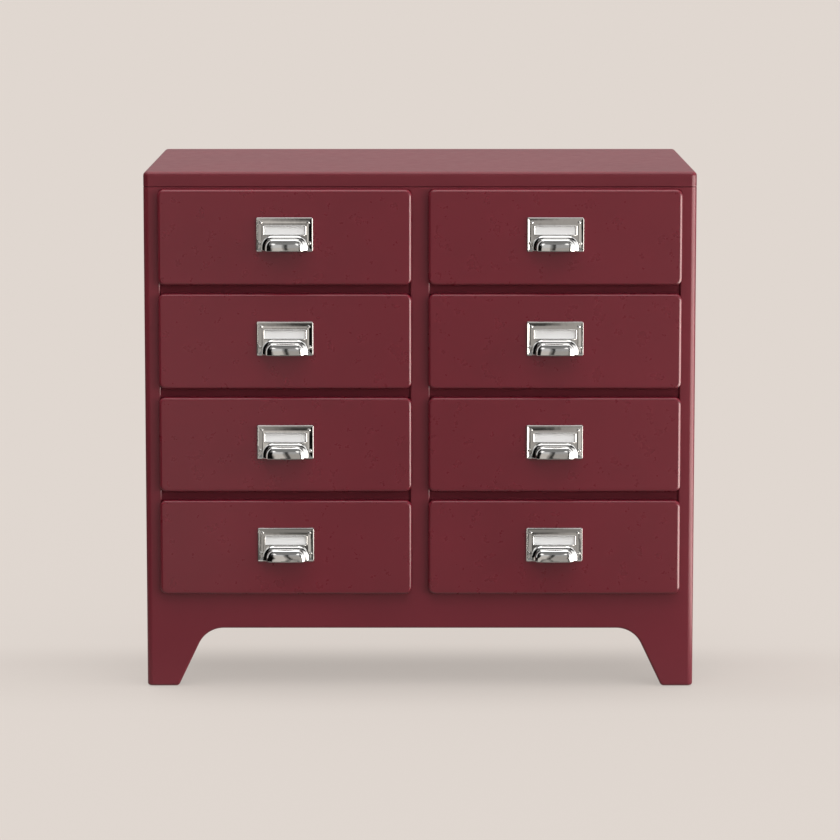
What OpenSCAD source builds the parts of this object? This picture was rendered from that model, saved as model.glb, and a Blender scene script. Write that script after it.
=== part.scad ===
// Eight-drawer sheet-steel chest: two columns of four drawers on a leg-cut plinth, each with a
// cup pull that also frames a label card.
// Millimetres. +X is the cabinet's right, seen from the front, the front faces -Y, +Z is up.
// The origin lies on the floor, at the middle of the overall width and depth, pulls included.

/* [Body] */
// Overall width
body_w = 650; // [560:5:800]
// Overall height from the floor to the top surface
body_h = 615; // [540:5:760]
// Depth of the body, without drawer fronts and pulls
body_d = 380; // [330:5:480]
// Thickness of the body sheet
sheet_t = 1; // [0.8:0.1:1.5]
// Outer radius of the upright corners
corner_r = 7; // [6:0.5:12]
// Outer radius of the edge round the top surface
top_edge_r = 6; // [3:0.5:6.5]
// Height of the top cover, from its lower edge to the top surface
cover_h = 18; // [12:1:24]
// Open joint between neighbouring sheets
seam = 0.3; // [0.2:0.1:0.6]

/* [Front] */
// From the top surface down to the first drawer front
top_band = 20.5; // [20.5:0.5:32]
// From the floor up to the lowest drawer front
plinth_h = 113.5; // [100:0.5:150]
// From the cabinet's side to the drawer fronts
side_band = 17.2; // [15:0.1:26]
// Between the two columns of drawer fronts
column_gap = 19.6; // [16:0.1:30]
// Between one drawer front and the next below it
row_gap = 10.3; // [7:0.1:18]
// How far a drawer front covers the edge of its window
lap = 2; // [1:0.1:4]
// How far the rails lie behind the front
rail_set_back = 3; // [1:0.5:5]
// Depth of the flanges turned in round the windows
window_flange = 15; // [10:0.5:20]
// Width of the side returns behind the front's corners
side_return = 14; // [12:0.5:20]

/* [Legs] */
// Height of the openings between the legs
leg_h = 70.6; // [50:0.1:90]
// Width of a leg at the floor
foot_w = 37.1; // [34:0.1:50]
// Width of a leg where its slope would meet the apron's edge
hip_w = 70.8; // [60:0.1:90]
// Radius between a leg's slope and the apron
hip_r = 32.7; // [15:0.1:45]
// Radius of a foot's outer corner
foot_outer_r = 4; // [2:0.5:6]
// Radius of a foot's inner corner
foot_inner_r = 5; // [2:0.5:8]
// Depth of the flange turned in along the leg opening
leg_flange = 12; // [8:0.5:18]
// Gap between the sheet and the floor
foot_clear = 0.8; // [0.5:0.1:2]
// Radius of a floor glide
glide_r = 11; // [8:0.5:13]
// Radius of a glide's stem
glide_stem_r = 4; // [3:0.1:5]

/* [Drawers] */
// Thickness of the drawer sheet
drawer_t = 0.8; // [0.6:0.1:1.2]
// How far a drawer front stands out from the body
face_proud = 10; // [8:0.5:16]
// Gap between a closed drawer front and the body
face_gap = 0.4; // [0.3:0.1:1]
// Radius of a drawer front's outline at its corners
face_corner_r = 8; // [6:0.5:14]
// Radius of a drawer front's outer edge
face_edge_r = 3.5; // [2:0.1:5]
// Width of the lip turned in behind a drawer front
face_lip = 14; // [12:0.5:20]
// Length of a drawer box from front to rear
box_l = 345; // [300:5:350]
// Clearance under a drawer box in its bay
box_clear_low = 1.5; // [1:0.1:4]
// Clearance over a drawer box in its bay
box_clear_high = 3; // [2:0.1:6]
// Width of the hook turned out along a drawer side's top
hook_w = 7; // [6:0.1:10]
// Drop of the hook's lip
hook_drop = 6; // [5:0.1:9]
// Clearance between the hook and the window's edge
hook_clear = 1.2; // [0.8:0.1:2]
// Running gap between the hook's lip and the runner under it
running_gap = 0.3; // [0.2:0.1:0.6]
// Gap between the hook and the runner's flange over it
runner_head = 1.2; // [0.6:0.1:2]
// How far a drawer pulls out
travel = 280; // [200:5:280]

/* [Pulls] */
// Width of a pull's plate
plate_w = 67.2; // [62:0.1:74]
// Height of a pull's plate
plate_h = 40.2; // [38:0.1:46]
// Thickness of the plate's field
plate_t = 1.4; // [1.2:0.1:2]
// Height of the plate's rim over the drawer front
rim_h = 2.6; // [2:0.1:3.4]
// Width of the plate's rim
rim_w = 1.6; // [1:0.1:2]
// How far the plate's middle lies over the drawer front's middle
pull_rise = 3.8; // [0:0.1:10]
// Width of the label window
label_w = 48.3; // [40:0.1:50]
// Height of the label window
label_h = 9.7; // [8:0.1:11]
// How far the cup stands out from the drawer front
cup_proud = 17; // [12:0.5:22]
// Width of the cup at the plate
cup_w = 54.6; // [46:0.1:55]
// Height of the cup at the plate
cup_h = 18.6; // [16:0.1:18.8]
// Corner radius of the cup at the plate
cup_r = 13.5; // [9:0.1:15]
// Width of the step round the cup's root
step_w = 4; // [2:0.1:6]
// How far the step stands out from the drawer front
step_proud = 5; // [3:0.1:7]
// Width of the ledge on the step
ledge_w = 0.8; // [0.4:0.1:1.5]
// Width of the cup's front face
cup_face_w = 31; // [24:0.1:36]
// Height of the cup's front face
cup_face_h = 9.2; // [8:0.1:14]
// Corner radius of the cup's front face
cup_face_r = 5; // [3:0.1:7]
// Thickness of the cup's wall
cup_t = 1.2; // [1:0.1:1.5]

/* [Hidden] */
$fn = 48;
eps = 0.01;                 // lets a cutting solid run past the face that it cuts
overrun = 0.02;             // by which an arc runs past the straight lines that it meets

ROWS = 4;
SIDES = ["left", "right"];
DRAWER_PARTS = ["drawer_box", "drawer_front", "cup_pull", "label_card", "pull_screws"];
BODY_NODES = [
    "front_frame", "side_panel_left", "side_panel_right", "back_panel", "back_screws",
    "top_cover", "bottom_panel", "centre_partition", "drawer_rails",
    "runners_outer_left", "runners_inner_left", "runners_inner_right", "runners_outer_right",
    "foot_plates", "foot_glides"
];
function drawer_node(part, side, row) = str(part, "_", side, "_", row);

// Screws in the back panel
back_head_h = 1.6;
back_head_r = 3.4;
back_screw_l = 8;
back_screw_in = 26;         // from the cabinet's side to the outer screws
back_screw_end = 30;        // from the back panel's ends to the first and last screws
back_screw_mid = 6;         // from the cabinet's middle to the screws in the partition's flange
back_slot_w = 0.8;
back_slot_d = 0.6;

// Places of the body's planes
front_y = (face_proud + cup_proud - body_d - back_head_h) / 2;
back_y = front_y + body_d;
half_w = body_w / 2;
side_rear = back_y - sheet_t;            // rear face of the side panels' flanges
cover_low = body_h - cover_h;
wall_top = cover_low - seam;
flange_t = sheet_t;
return_end = front_y + corner_r + side_return;
joggle_l = 12;              // length of the side panels' strip behind the front's returns
joggle_end = return_end + seam + 6;
rear_corner_r = 4;
rear_flange = 32;
top_flange = 16;
cover_flange = 14;
floor_z = leg_h + 6;        // underside of the bottom panel
floor_flange = 10;          // the bottom panel's turned-up edges

// Drawer fronts, windows and rows. Row 1 is the top one.
face_w = (body_w - 2 * side_band - column_gap) / 2;
pitch = (body_h - top_band - plinth_h + row_gap) / ROWS;
face_h = pitch - row_gap;
face_x = (column_gap + face_w) / 2;
window_w = face_w - 2 * lap;
window_low = plinth_h + lap;
window_high = body_h - top_band - lap;
rail_h = row_gap + 2 * lap;
bay_h = pitch - rail_h;
function side_sign(side) = side == "left" ? -1 : 1;
function row_z(row) = plinth_h + (ROWS - row) * pitch;

// Drawer boxes and their runners
box_w = window_w - 2 * (hook_clear + hook_w);
box_h = bay_h - box_clear_low - box_clear_high;
box_low = lap + box_clear_low;
box_front = front_y - face_gap;
hook_out = box_w / 2 + hook_w;
hook_hold = 2.4;            // from the drawer's side to the runners' free edge
runner_reach = box_w / 2 + hook_hold;
catch_rise = 0.8;           // of the catch above the hook's lower edge
runner_front = joggle_end + 1;
runner_rear = side_rear - rear_corner_r - 1;
runner_low = box_low + box_h - hook_drop - running_gap - sheet_t;
runner_high = box_low + box_h + runner_head + sheet_t;
stop_w = 3;
stop_h = 3;
stop_gap = 0.5;                          // between the stops when a drawer is fully out
catch_y = runner_front + sheet_t + stop_gap + travel;

// Pulls
pull_low = (face_h - plate_h) / 2 + pull_rise;
plate_corner_r = 1.5;
bevel_w = 5.5;
frame_w = 1.3;
frame_h = 2.2;
label_low = 20.2;
pocket_d = 0.5;
card_t = 0.35;
card_gap = 0.3;
pocket_low = cup_h + 0.1;
pocket_w = label_w + 5;
card_w = pocket_w - 2 * card_gap;
card_h = label_low + label_h + 2.5 - pocket_low;
cup_low = 0.8;
cup_draw = (cup_w - cup_face_w) / 2;     // how far the cup's sides draw in towards its face
step_taper = step_w / cup_draw;
ledge_taper = (step_w + ledge_w) / cup_draw;
screw_r = 1.25;
screw_fit = 0.05;
screw_head_r = 2;
screw_seat_r = screw_head_r + 0.2;
screw_head_h = 1.3;
screw_dome_r = 2.6;
screw_slot_w = 0.5;
screw_slot_d = 0.5;
screw_l = 5;
screw_inset = 4.1;
screw_upper_inset = 5.7;
screw_upper_drop = 6;
screw_lower_rise = 9.8;
SCREW_PLACES = [
    for (s = [-1, 1])
        for (z = [screw_lower_rise, plate_h - screw_upper_drop])
            [s * (plate_w / 2 - (z > plate_h / 2 ? screw_upper_inset : screw_inset)), z]
];

// ---- shapes used more than once ----

// A rectangle with round corners, centred, of exact arcs
module rounded_rect(w, h, r) {
    square([w - 2 * r, h], center = true);
    square([w, h - 2 * r], center = true);
    for (x = [-1, 1])
        for (y = [-1, 1])
            translate([x * (w / 2 - r), y * (h / 2 - r)]) circle(r);
}

// The cross-section of a slab w wide and t thick, with its two upper corners rounded
module slab_section(w, t, r) {
    translate([-w / 2, 0]) square([w, t - r]);
    translate([-w / 2 + r, 0]) square([w - 2 * r, t]);
    for (x = [-1, 1])
        translate([x * (w / 2 - r), t - r]) circle(r);
}

// A slab with round corners and a rounded upper edge, lying on z = 0
module soft_slab(w, h, t, outline_r, edge_r) {
    translate([-w / 2 + outline_r, 0, 0])
        rotate([90, 0, 90]) linear_extrude(w - 2 * outline_r) slab_section(h, t, edge_r);
    translate([0, h / 2 - outline_r, 0])
        rotate([90, 0, 0]) linear_extrude(h - 2 * outline_r) slab_section(w, t, edge_r);
    for (x = [-1, 1])
        for (y = [-1, 1])
            translate([x * (w / 2 - outline_r), y * (h / 2 - outline_r), 0])
                rotate_extrude() {
                    square([outline_r, t - edge_r]);
                    square([outline_r - edge_r, t]);
                    translate([outline_r - edge_r, t - edge_r])
                        intersection() {
                            circle(edge_r);
                            square(edge_r);
                        }
                }
}

// Stands a shape drawn in the XY plane upright, facing -Y, from y to y + depth
module upright(y, depth) {
    translate([0, y + depth, 0]) rotate([90, 0, 0]) linear_extrude(depth) children();
}

// The same for a shape that faces along X: its first coordinate becomes Y
module sideways(x, depth) {
    translate([x, 0, 0]) rotate([90, 0, 90]) linear_extrude(depth) children();
}

// The opening between two legs of a face w wide, with sloped sides and round upper corners.
// It is grown by g on every side, for the outside of its flange.
module leg_opening(w, g = 0) {
    slope = atan((hip_w - foot_w) / leg_h);
    grown = g / cos(slope);
    tangent = hip_r * tan((90 - slope) / 2);
    round_x = w / 2 - hip_w - tangent;
    round_z = leg_h - hip_r;
    r = hip_r + g;
    reach = 2 * foot_clear + g;
    polygon([
        for (s = [-1, 1])
            for (p = [
                [w / 2 - foot_w + grown + reach * tan(slope), -reach],
                [round_x + r * cos(slope), round_z + r * sin(slope)],
                [round_x, leg_h + g]
            ])
                [s * p[0], p[1]]
    ], [[0, 1, 2, 5, 4, 3]]);
    for (s = [-1, 1])
        translate([s * round_x, round_z]) circle(r + overrun);
}

// The rounding of both feet's inner corners, to be cut with the opening
module foot_inner_rounding(w) {
    slope = atan((hip_w - foot_w) / leg_h);
    r = foot_inner_r;
    corner_x = w / 2 - foot_w - foot_clear * tan(slope);
    tangent = r * tan((90 - slope) / 2);
    for (s = [-1, 1])
        difference() {
            polygon([
                [s * (corner_x - r), foot_clear - r],
                [s * (corner_x + tangent), foot_clear - r],
                [s * (corner_x + tangent), foot_clear],
                [s * (corner_x - tangent * sin(slope)), foot_clear + tangent * cos(slope)]
            ]);
            translate([s * (corner_x + tangent), foot_clear + r]) circle(r + overrun);
        }
}

// What the feet's outer corners are trimmed to, on a face w wide
module foot_outline(w) {
    translate([-w / 2, foot_clear + foot_outer_r]) square([w, body_h]);
    translate([-w / 2 + foot_outer_r, foot_clear]) square([w - 2 * foot_outer_r, body_h]);
    for (s = [-1, 1])
        translate([s * (w / 2 - foot_outer_r), foot_clear + foot_outer_r]) circle(foot_outer_r);
}

// ---- body ----

// Plan of the body's outer skin, drawn in from the outside by the amount given
module body_plan(inset) {
    translate([0, front_y + body_d / 2])
        rounded_rect(body_w - 2 * inset, body_d - 2 * inset, corner_r - inset);
}

module window_outlines(grow) {
    for (s = [-1, 1])
        translate([s * face_x, (window_low + window_high) / 2])
            square([window_w + 2 * grow, window_high - window_low + 2 * grow], center = true);
}

// The whole front: stiles, apron and legs in one pressing, wrapped round both corners
module front_frame() {
    color("#6b2c35") {
        intersection() {
            difference() {
                translate([0, 0, foot_clear]) linear_extrude(wall_top - foot_clear)
                    difference() {
                        body_plan(0);
                        body_plan(sheet_t);
                        translate([-body_w, return_end]) square([2 * body_w, body_d]);
                    }
                upright(front_y - 1, corner_r) {
                    window_outlines(0);
                    leg_opening(body_w);
                    foot_inner_rounding(body_w);
                }
            }
            upright(front_y - 1, body_d) foot_outline(body_w);
        }
        upright(front_y + sheet_t, window_flange - sheet_t) difference() {
            window_outlines(sheet_t);
            window_outlines(0);
        }
        intersection() {
            upright(front_y + sheet_t, leg_flange - sheet_t) difference() {
                leg_opening(body_w, sheet_t);
                leg_opening(body_w);
            }
            translate([-half_w, front_y, foot_clear + foot_inner_r])
                cube([body_w, leg_flange, leg_h]);
        }
        translate([0, 0, wall_top - flange_t]) linear_extrude(flange_t) intersection() {
            body_plan(sheet_t);
            translate([-half_w, front_y]) square([body_w, top_flange]);
        }
    }
}

// Plan of the side panels with their rear flanges, drawn in from the outside
module side_plan(inset) {
    translate([0, (front_y + side_rear) / 2])
        rounded_rect(body_w - 2 * inset, side_rear - front_y - 2 * inset, rear_corner_r - inset);
}

// The right side panel: joggled behind the front's return, turned in at the rear and the top,
// with the same leg opening as the front
module side_panel() {
    side_l = side_rear - front_y;
    front_edge = return_end + seam;
    flange_front = front_y + top_flange + seam;
    color("#6b2c35") {
        difference() {
            translate([0, 0, foot_clear]) linear_extrude(wall_top - foot_clear) {
                intersection() {
                    difference() {
                        side_plan(0);
                        side_plan(sheet_t);
                    }
                    translate([half_w - rear_flange, front_edge]) square([rear_flange, side_l]);
                }
            }
            translate([half_w - 2 * sheet_t, return_end - joggle_l, foot_clear])
                cube([
                    sheet_t, joggle_end - return_end + joggle_l,
                    wall_top - flange_t - foot_clear
                ]);
            sideways(half_w - rear_flange, 2 * rear_flange) translate([front_y + side_l / 2, 0])
                leg_opening(side_l);
            back_screw_holes(side_rear - 2 * sheet_t, 3 * sheet_t);
        }
        intersection() {
            sideways(half_w - leg_flange, leg_flange - sheet_t)
                translate([front_y + side_l / 2, 0]) difference() {
                    leg_opening(side_l, sheet_t);
                    leg_opening(side_l);
                }
            translate([0, front_y, foot_clear + foot_inner_r]) cube([body_w, body_d, leg_h]);
        }
        translate([0, 0, wall_top - flange_t]) linear_extrude(flange_t) intersection() {
            side_plan(sheet_t);
            translate([half_w - top_flange, flange_front])
                square([top_flange - sheet_t, side_rear - flange_front]);
        }
    }
}

module back_panel() {
    width = body_w - 2 * (rear_corner_r + 1);
    low = leg_h + sheet_t;
    bead_r = 5;
    bead_rise = 2;
    bead_end = 60;                      // from the panel's ends to the beads
    bead_h = wall_top - low - 2 * bead_end;
    color("#6b2c35") difference() {
        union() {
            translate([-width / 2, back_y - sheet_t, low]) cube([width, sheet_t, wall_top - low]);
            for (s = [-1, 1])
                translate([s * width / 4, 0, 0]) bead(bead_r, bead_rise, bead_h, sheet_t);
        }
        for (s = [-1, 1])
            translate([s * width / 4, 0, 0]) bead(bead_r, bead_rise, bead_h, 0);
        back_screw_holes(back_y - 2 * sheet_t, 3 * sheet_t);
    }
}

// The holes for the back panel's screws, from y to y + depth
module back_screw_holes(y, depth) {
    for (p = BACK_SCREWS)
        translate([p[0], y + depth, p[1]])
            rotate([90, 0, 0]) cylinder(r = screw_r + screw_fit, h = depth);
}

// A stiffening bead pressed into the back panel, standing in towards the drawers
module bead(r, rise, h, wall) {
    mid_z = (leg_h + wall_top) / 2;
    centre_y = back_y + r - rise;
    translate([0, centre_y, mid_z - h / 2 - wall]) intersection() {
        cylinder(r = r + wall, h = h + 2 * wall);
        translate([-2 * r, -2 * r, -1]) cube([4 * r, 3 * r - centre_y + back_y - r, h + 9]);
    }
}

BACK_SCREWS = [
    for (x = [back_screw_in - half_w, back_screw_mid, half_w - back_screw_in])
        for (i = [0:3])
            [x, leg_h + back_screw_end + i * (wall_top - leg_h - 2 * back_screw_end) / 3]
];

module back_screws() {
    color("silver") for (p = BACK_SCREWS)
        translate([p[0], back_y, p[1]]) rotate([90, 0, 0]) union() {
            translate([0, 0, -back_head_h]) difference() {
                cylinder(r = back_head_r, h = back_head_h);
                translate([-back_slot_w / 2, -back_head_r - 1, -back_slot_d])
                    cube([back_slot_w, 2 * back_head_r + 2, 2 * back_slot_d]);
            }
            cylinder(r = screw_r, h = back_screw_l);
        }
}

// The cover is turned in under its skirt, and rests on the flanges along the body's top
module top_cover() {
    color("#6b2c35") translate([0, front_y + body_d / 2, cover_low]) difference() {
        soft_slab(body_w, body_d, cover_h, corner_r, top_edge_r);
        translate([0, 0, sheet_t])
            soft_slab(
                body_w - 2 * sheet_t, body_d - 2 * sheet_t, cover_h - 2 * sheet_t,
                corner_r - sheet_t, top_edge_r - sheet_t
            );
        translate([0, 0, -1]) linear_extrude(2 + sheet_t)
            rounded_rect(body_w - 2 * cover_flange, body_d - 2 * cover_flange, corner_r);
    }
}

// Turned up along the sides and the front, and notched at the corners round the walls' bends
module bottom_panel() {
    rear = back_y - 2 * sheet_t;
    notch = 1;                          // beyond a bend
    front_in = corner_r + notch;
    side_end = rear - rear_corner_r - notch;
    color("#6b2c35") {
        translate([0, 0, floor_z]) linear_extrude(sheet_t) {
            translate([-half_w + front_in, front_y + sheet_t])
                square([body_w - 2 * front_in, rear - front_y - sheet_t]);
            translate([-half_w + 2 * sheet_t, front_y + front_in])
                square([body_w - 4 * sheet_t, side_end - front_y - front_in]);
            translate([-half_w + sheet_t, joggle_end])
                square([body_w - 2 * sheet_t, side_end - joggle_end]);
        }
        for (x = [-half_w + sheet_t, half_w - 2 * sheet_t])
            translate([x, joggle_end, floor_z + sheet_t])
                cube([sheet_t, side_end - joggle_end, floor_flange]);
        translate([-half_w + front_in, front_y + sheet_t, floor_z + sheet_t])
            cube([body_w - 2 * front_in, sheet_t, floor_flange]);
    }
}

// The upright sheet between the two columns, flanged at the front, the rear and the top
module centre_partition() {
    low = floor_z + sheet_t;
    high = wall_top - flange_t;
    rear = back_y - sheet_t;
    flange = (column_gap + 2 * lap) / 2 - sheet_t;
    flange_low = low + floor_flange + 2;
    color("#6b2c35") {
        translate([-sheet_t / 2, front_y + 2 * sheet_t, low])
            cube([sheet_t, rear - front_y - 2 * sheet_t, high - low]);
        translate([-sheet_t / 2, front_y + sheet_t, flange_low])
            cube([flange + sheet_t / 2, sheet_t, high - flange_low]);
        difference() {
            translate([0, rear - sheet_t, low]) cube([flange, sheet_t, high - low]);
            back_screw_holes(rear - 2 * sheet_t, 3 * sheet_t);
        }
        translate([0, front_y + window_flange, high - sheet_t])
            cube([flange, rear - front_y - window_flange, sheet_t]);
    }
}

// A channel across each column between two drawers, set back from the front
module drawer_rails() {
    depth = window_flange - rail_set_back;
    color("#6b2c35") for (side = SIDES)
        for (row = [1:ROWS - 1])
            translate([
                side_sign(side) * face_x - window_w / 2, front_y + rail_set_back,
                row_z(row) + lap - rail_h
            ])
                difference() {
                    cube([window_w, depth, rail_h]);
                    translate([-1, sheet_t, sheet_t])
                        cube([window_w + 2, depth, rail_h - 2 * sheet_t]);
                }
}

// Four channels, one over the other, that open towards the drawers. web_x is the face that the
// channels are welded to, and they lie beside it, towards the drawers of the side given.
module runners(side, web_x) {
    drawer_x = side_sign(side) * face_x;
    inward = drawer_x > web_x ? 1 : -1;
    reach = abs(drawer_x - web_x) - runner_reach;
    height = runner_high - runner_low;
    color("#5a5d60") for (row = [1:ROWS])
        translate([web_x, runner_front, row_z(row) + runner_low])
            mirror([inward > 0 ? 0 : 1, 0, 0]) {
                difference() {
                    cube([reach, runner_rear - runner_front, height]);
                    translate([sheet_t, -1, sheet_t])
                        cube([reach, runner_rear - runner_front + 2, height - 2 * sheet_t]);
                }
                translate([reach - stop_w, 0, 0]) cube([stop_w, sheet_t, sheet_t + stop_h]);
            }
}

// ---- feet ----

foot_plate_s = 28;
foot_plate_z = 6;
foot_plate_t = 1.5;
glide_inset = sheet_t + 15;
glide_shoulder = 1.5;

module at_each_foot() {
    rear = back_y - 2 * sheet_t;
    for (s = [0, 1])
        mirror([s, 0, 0]) {
            translate([half_w - 2 * sheet_t, front_y + sheet_t, 0]) children();
            translate([half_w - 2 * sheet_t, rear, 0]) mirror([0, 1, 0]) children();
        }
}

// A plate welded into the corner of each leg, which carries the glide
module foot_plates() {
    color("#6b2c35") at_each_foot() difference() {
        translate([-foot_plate_s, 0, foot_plate_z]) linear_extrude(foot_plate_t) difference() {
            square(foot_plate_s);
            translate([foot_plate_s - corner_r, 0]) square([corner_r, corner_r]);
        }
        translate([-glide_inset, glide_inset, 0])
            cylinder(r = glide_stem_r + screw_fit, h = 2 * foot_plate_z);
    }
}

module foot_glides() {
    color("#222222") at_each_foot() translate([-glide_inset, glide_inset, 0]) {
        rotate_extrude() {
            square([glide_r, foot_plate_z - 2]);
            square([glide_r - glide_shoulder, foot_plate_z]);
        }
        cylinder(r = glide_stem_r, h = foot_plate_z + foot_plate_t + 2);
    }
}

// ---- drawers ----

module at_drawer(side, row) {
    translate([side_sign(side) * face_x, 0, row_z(row)]) children();
}

// The folded tray, with a hooked flange along each side that hangs in the runners
module drawer_box() {
    inner_w = box_w - 2 * drawer_t;
    hook_rear = box_front + box_l;
    color("#5a2630") translate([0, 0, box_low]) {
        difference() {
            translate([-box_w / 2, box_front, 0]) cube([box_w, box_l, box_h]);
            translate([-inner_w / 2, box_front + drawer_t, drawer_t])
                cube([inner_w, box_l - 2 * drawer_t, box_h]);
        }
        for (s = [0, 1])
            mirror([s, 0, 0]) {
                translate([box_w / 2, front_y + drawer_t, box_h - drawer_t])
                    cube([hook_w, hook_rear - front_y - drawer_t, drawer_t]);
                translate([hook_out - drawer_t, front_y + drawer_t, box_h - hook_drop])
                    cube([drawer_t, hook_rear - front_y - drawer_t, hook_drop]);
                translate([box_w / 2, catch_y, box_h - hook_drop + catch_rise])
                    cube([hook_w - drawer_t, sheet_t, hook_drop - catch_rise]);
            }
    }
}

// The pressed pan that faces the drawer: soft edges in front, lips turned in behind
module drawer_front() {
    depth = face_proud - face_gap;
    color("#6e3139") difference() {
        translate([0, front_y - face_gap, face_h / 2]) rotate([90, 0, 0]) difference() {
            soft_slab(face_w, face_h, depth, face_corner_r, face_edge_r);
            translate([0, 0, sheet_t])
                soft_slab(
                    face_w - 2 * sheet_t, face_h - 2 * sheet_t, depth - 2 * sheet_t,
                    face_corner_r - sheet_t, face_edge_r - sheet_t
                );
            translate([0, 0, -1]) linear_extrude(2 + sheet_t)
                rounded_rect(face_w - 2 * face_lip, face_h - 2 * face_lip, 4);
        }
        at_pull() for (p = SCREW_PLACES)
            translate([p[0], sheet_t + 1, p[1]])
                rotate([90, 0, 0]) cylinder(r = screw_r + screw_fit, h = sheet_t + 2);
    }
}

// The middle of the plate's lower edge, on the drawer front
module at_pull() {
    translate([0, front_y - face_proud, pull_low]) children();
}

// The outline of the cup at one depth, from its lower left corner round to its lower right.
// It is drawn in the XZ plane at the distance y in front of the drawer front.
CUP_ARC = 7;
function cup_outline(half, top, r, y) = concat(
    [[-half, -y, cup_low]],
    [for (i = [0:CUP_ARC]) let (a = 180 - 90 * i / CUP_ARC)
        [-half + r + r * cos(a), -y, top - r + r * sin(a)]],
    [for (i = [0:CUP_ARC]) let (a = 90 - 90 * i / CUP_ARC)
        [half - r + r * cos(a), -y, top - r + r * sin(a)]],
    [[half, -y, cup_low]]
);

// The outline of the cup's skin where it has drawn in by the share taper, at the distance out
function cup_level(taper, out, wall) = cup_outline(
    cup_w / 2 - wall - taper * cup_draw,
    cup_h - wall - taper * (cup_h - cup_face_h),
    cup_r - wall - taper * (cup_r - cup_face_r),
    out
);

// The cup's skin, as outlines from the plate to the front face, drawn in by wall: a rounded step
// at the root, and the main wall, which rises from the step's ledge and rounds into the face
CUP_STEPS = 5;
function cup_skin(wall) = concat(
    [for (i = [0:CUP_STEPS]) let (a = 90 * i / CUP_STEPS)
        cup_level(step_taper * (1 - cos(a)), (step_proud - wall) * sin(a), wall)],
    [for (i = [0:CUP_STEPS]) let (a = 90 * i / CUP_STEPS)
        cup_level(
            ledge_taper + (1 - ledge_taper) * (1 - cos(a)),
            step_proud - wall + (cup_proud - step_proud) * sin(a),
            wall
        )]
);

// The cup: an outer and an inner skin lofted from the plate to the face, joined round the rims
module cup() {
    n = 2 * CUP_ARC + 4;                 // points in an outline
    m = 2 * (CUP_STEPS + 1);             // outlines in a skin
    skins = concat(cup_skin(0), cup_skin(cup_t));
    function at(skin, i, j) = (skin * m + i) * n + j;
    outer = [for (i = [0:m - 2]) for (j = [0:n - 2])
        [at(0, i, j), at(0, i, j + 1), at(0, i + 1, j + 1), at(0, i + 1, j)]];
    inner = [for (i = [0:m - 2]) for (j = [0:n - 2])
        [at(1, i, j), at(1, i + 1, j), at(1, i + 1, j + 1), at(1, i, j + 1)]];
    faces = [
        [for (j = [0:n - 1]) at(0, m - 1, j)],
        [for (j = [n - 1:-1:0]) at(1, m - 1, j)]
    ];
    root = [for (j = [0:n - 2]) [at(0, 0, j + 1), at(0, 0, j), at(1, 0, j), at(1, 0, j + 1)]];
    lip_left = [for (i = [0:m - 2])
        [at(0, i, 0), at(0, i + 1, 0), at(1, i + 1, 0), at(1, i, 0)]];
    lip_right = [for (i = [0:m - 2])
        [at(0, i + 1, n - 1), at(0, i, n - 1), at(1, i, n - 1), at(1, i + 1, n - 1)]];
    lip_front = [[at(0, m - 1, 0), at(0, m - 1, n - 1), at(1, m - 1, n - 1), at(1, m - 1, 0)]];
    polyhedron(
        [for (outline = skins) for (p = outline) p],
        concat(outer, inner, faces, root, lip_left, lip_right, lip_front),
        convexity = 6
    );
}

// A pocket with sloped sides, w by h at its mouth and drawn in by slope at its floor
module sloped_pocket(w, h, slope, depth) {
    w1 = w / 2 - slope;
    h1 = h / 2 - slope;
    w2 = w / 2;
    h2 = h / 2;
    polyhedron(
        [
            [-w1, 0, -h1], [w1, 0, -h1], [w1, 0, h1], [-w1, 0, h1],
            [-w2, -depth, -h2], [w2, -depth, -h2], [w2, -depth, h2], [-w2, -depth, h2]
        ],
        [[0, 1, 2, 3], [7, 6, 5, 4], [4, 5, 1, 0], [5, 6, 2, 1], [6, 7, 3, 2], [7, 4, 0, 3]]
    );
}

// The plate with its rim and label window, and the cup drawn out of its lower half
module cup_pull() {
    depth = rim_h - plate_t;
    slope = bevel_w;
    color("silver") at_pull() {
        difference() {
            union() {
                difference() {
                    upright(-rim_h, rim_h) translate([0, plate_h / 2])
                        rounded_rect(plate_w, plate_h, plate_corner_r);
                    translate([0, -plate_t, plate_h / 2])
                        sloped_pocket(
                            plate_w - 2 * rim_w + slope * eps, plate_h - 2 * rim_w + slope * eps,
                            slope, depth + eps
                        );
                }
                upright(-frame_h, frame_h - pocket_d) translate([0, label_low + label_h / 2])
                    rounded_rect(label_w + 2 * frame_w, label_h + 2 * frame_w, frame_w);
            }
            upright(-rim_h - 1, rim_h + 2) translate([0, label_low + label_h / 2])
                square([label_w, label_h], center = true);
            translate([-pocket_w / 2, -pocket_d, pocket_low])
                cube([pocket_w, pocket_d + 1, plate_h]);
            for (p = SCREW_PLACES)
                translate([p[0], 0, p[1]]) rotate([90, 0, 0]) {
                    translate([0, 0, -1]) cylinder(r = screw_r + screw_fit, h = rim_h + 2);
                    translate([0, 0, plate_t]) cylinder(r = screw_seat_r, h = rim_h);
                }
            upright(-rim_h - 1, rim_h + 2) cup_hole();
        }
        cup();
    }
}

// The opening in the plate behind the cup, inside the cup's wall
module cup_hole() {
    half = cup_w / 2 - cup_t / 2;
    r = cup_r - cup_t / 2;
    top = cup_h - cup_t / 2;
    translate([-half, -1]) square([2 * half, top - r + 1]);
    translate([-half + r, -1]) square([2 * (half - r), top + 1]);
    for (s = [-1, 1])
        translate([s * (half - r), top - r]) circle(r);
}

module label_card() {
    color("white") at_pull()
        translate([-card_w / 2, -(pocket_d + card_t) / 2, pocket_low + card_gap / 2])
            cube([card_w, card_t, card_h]);
}

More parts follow.
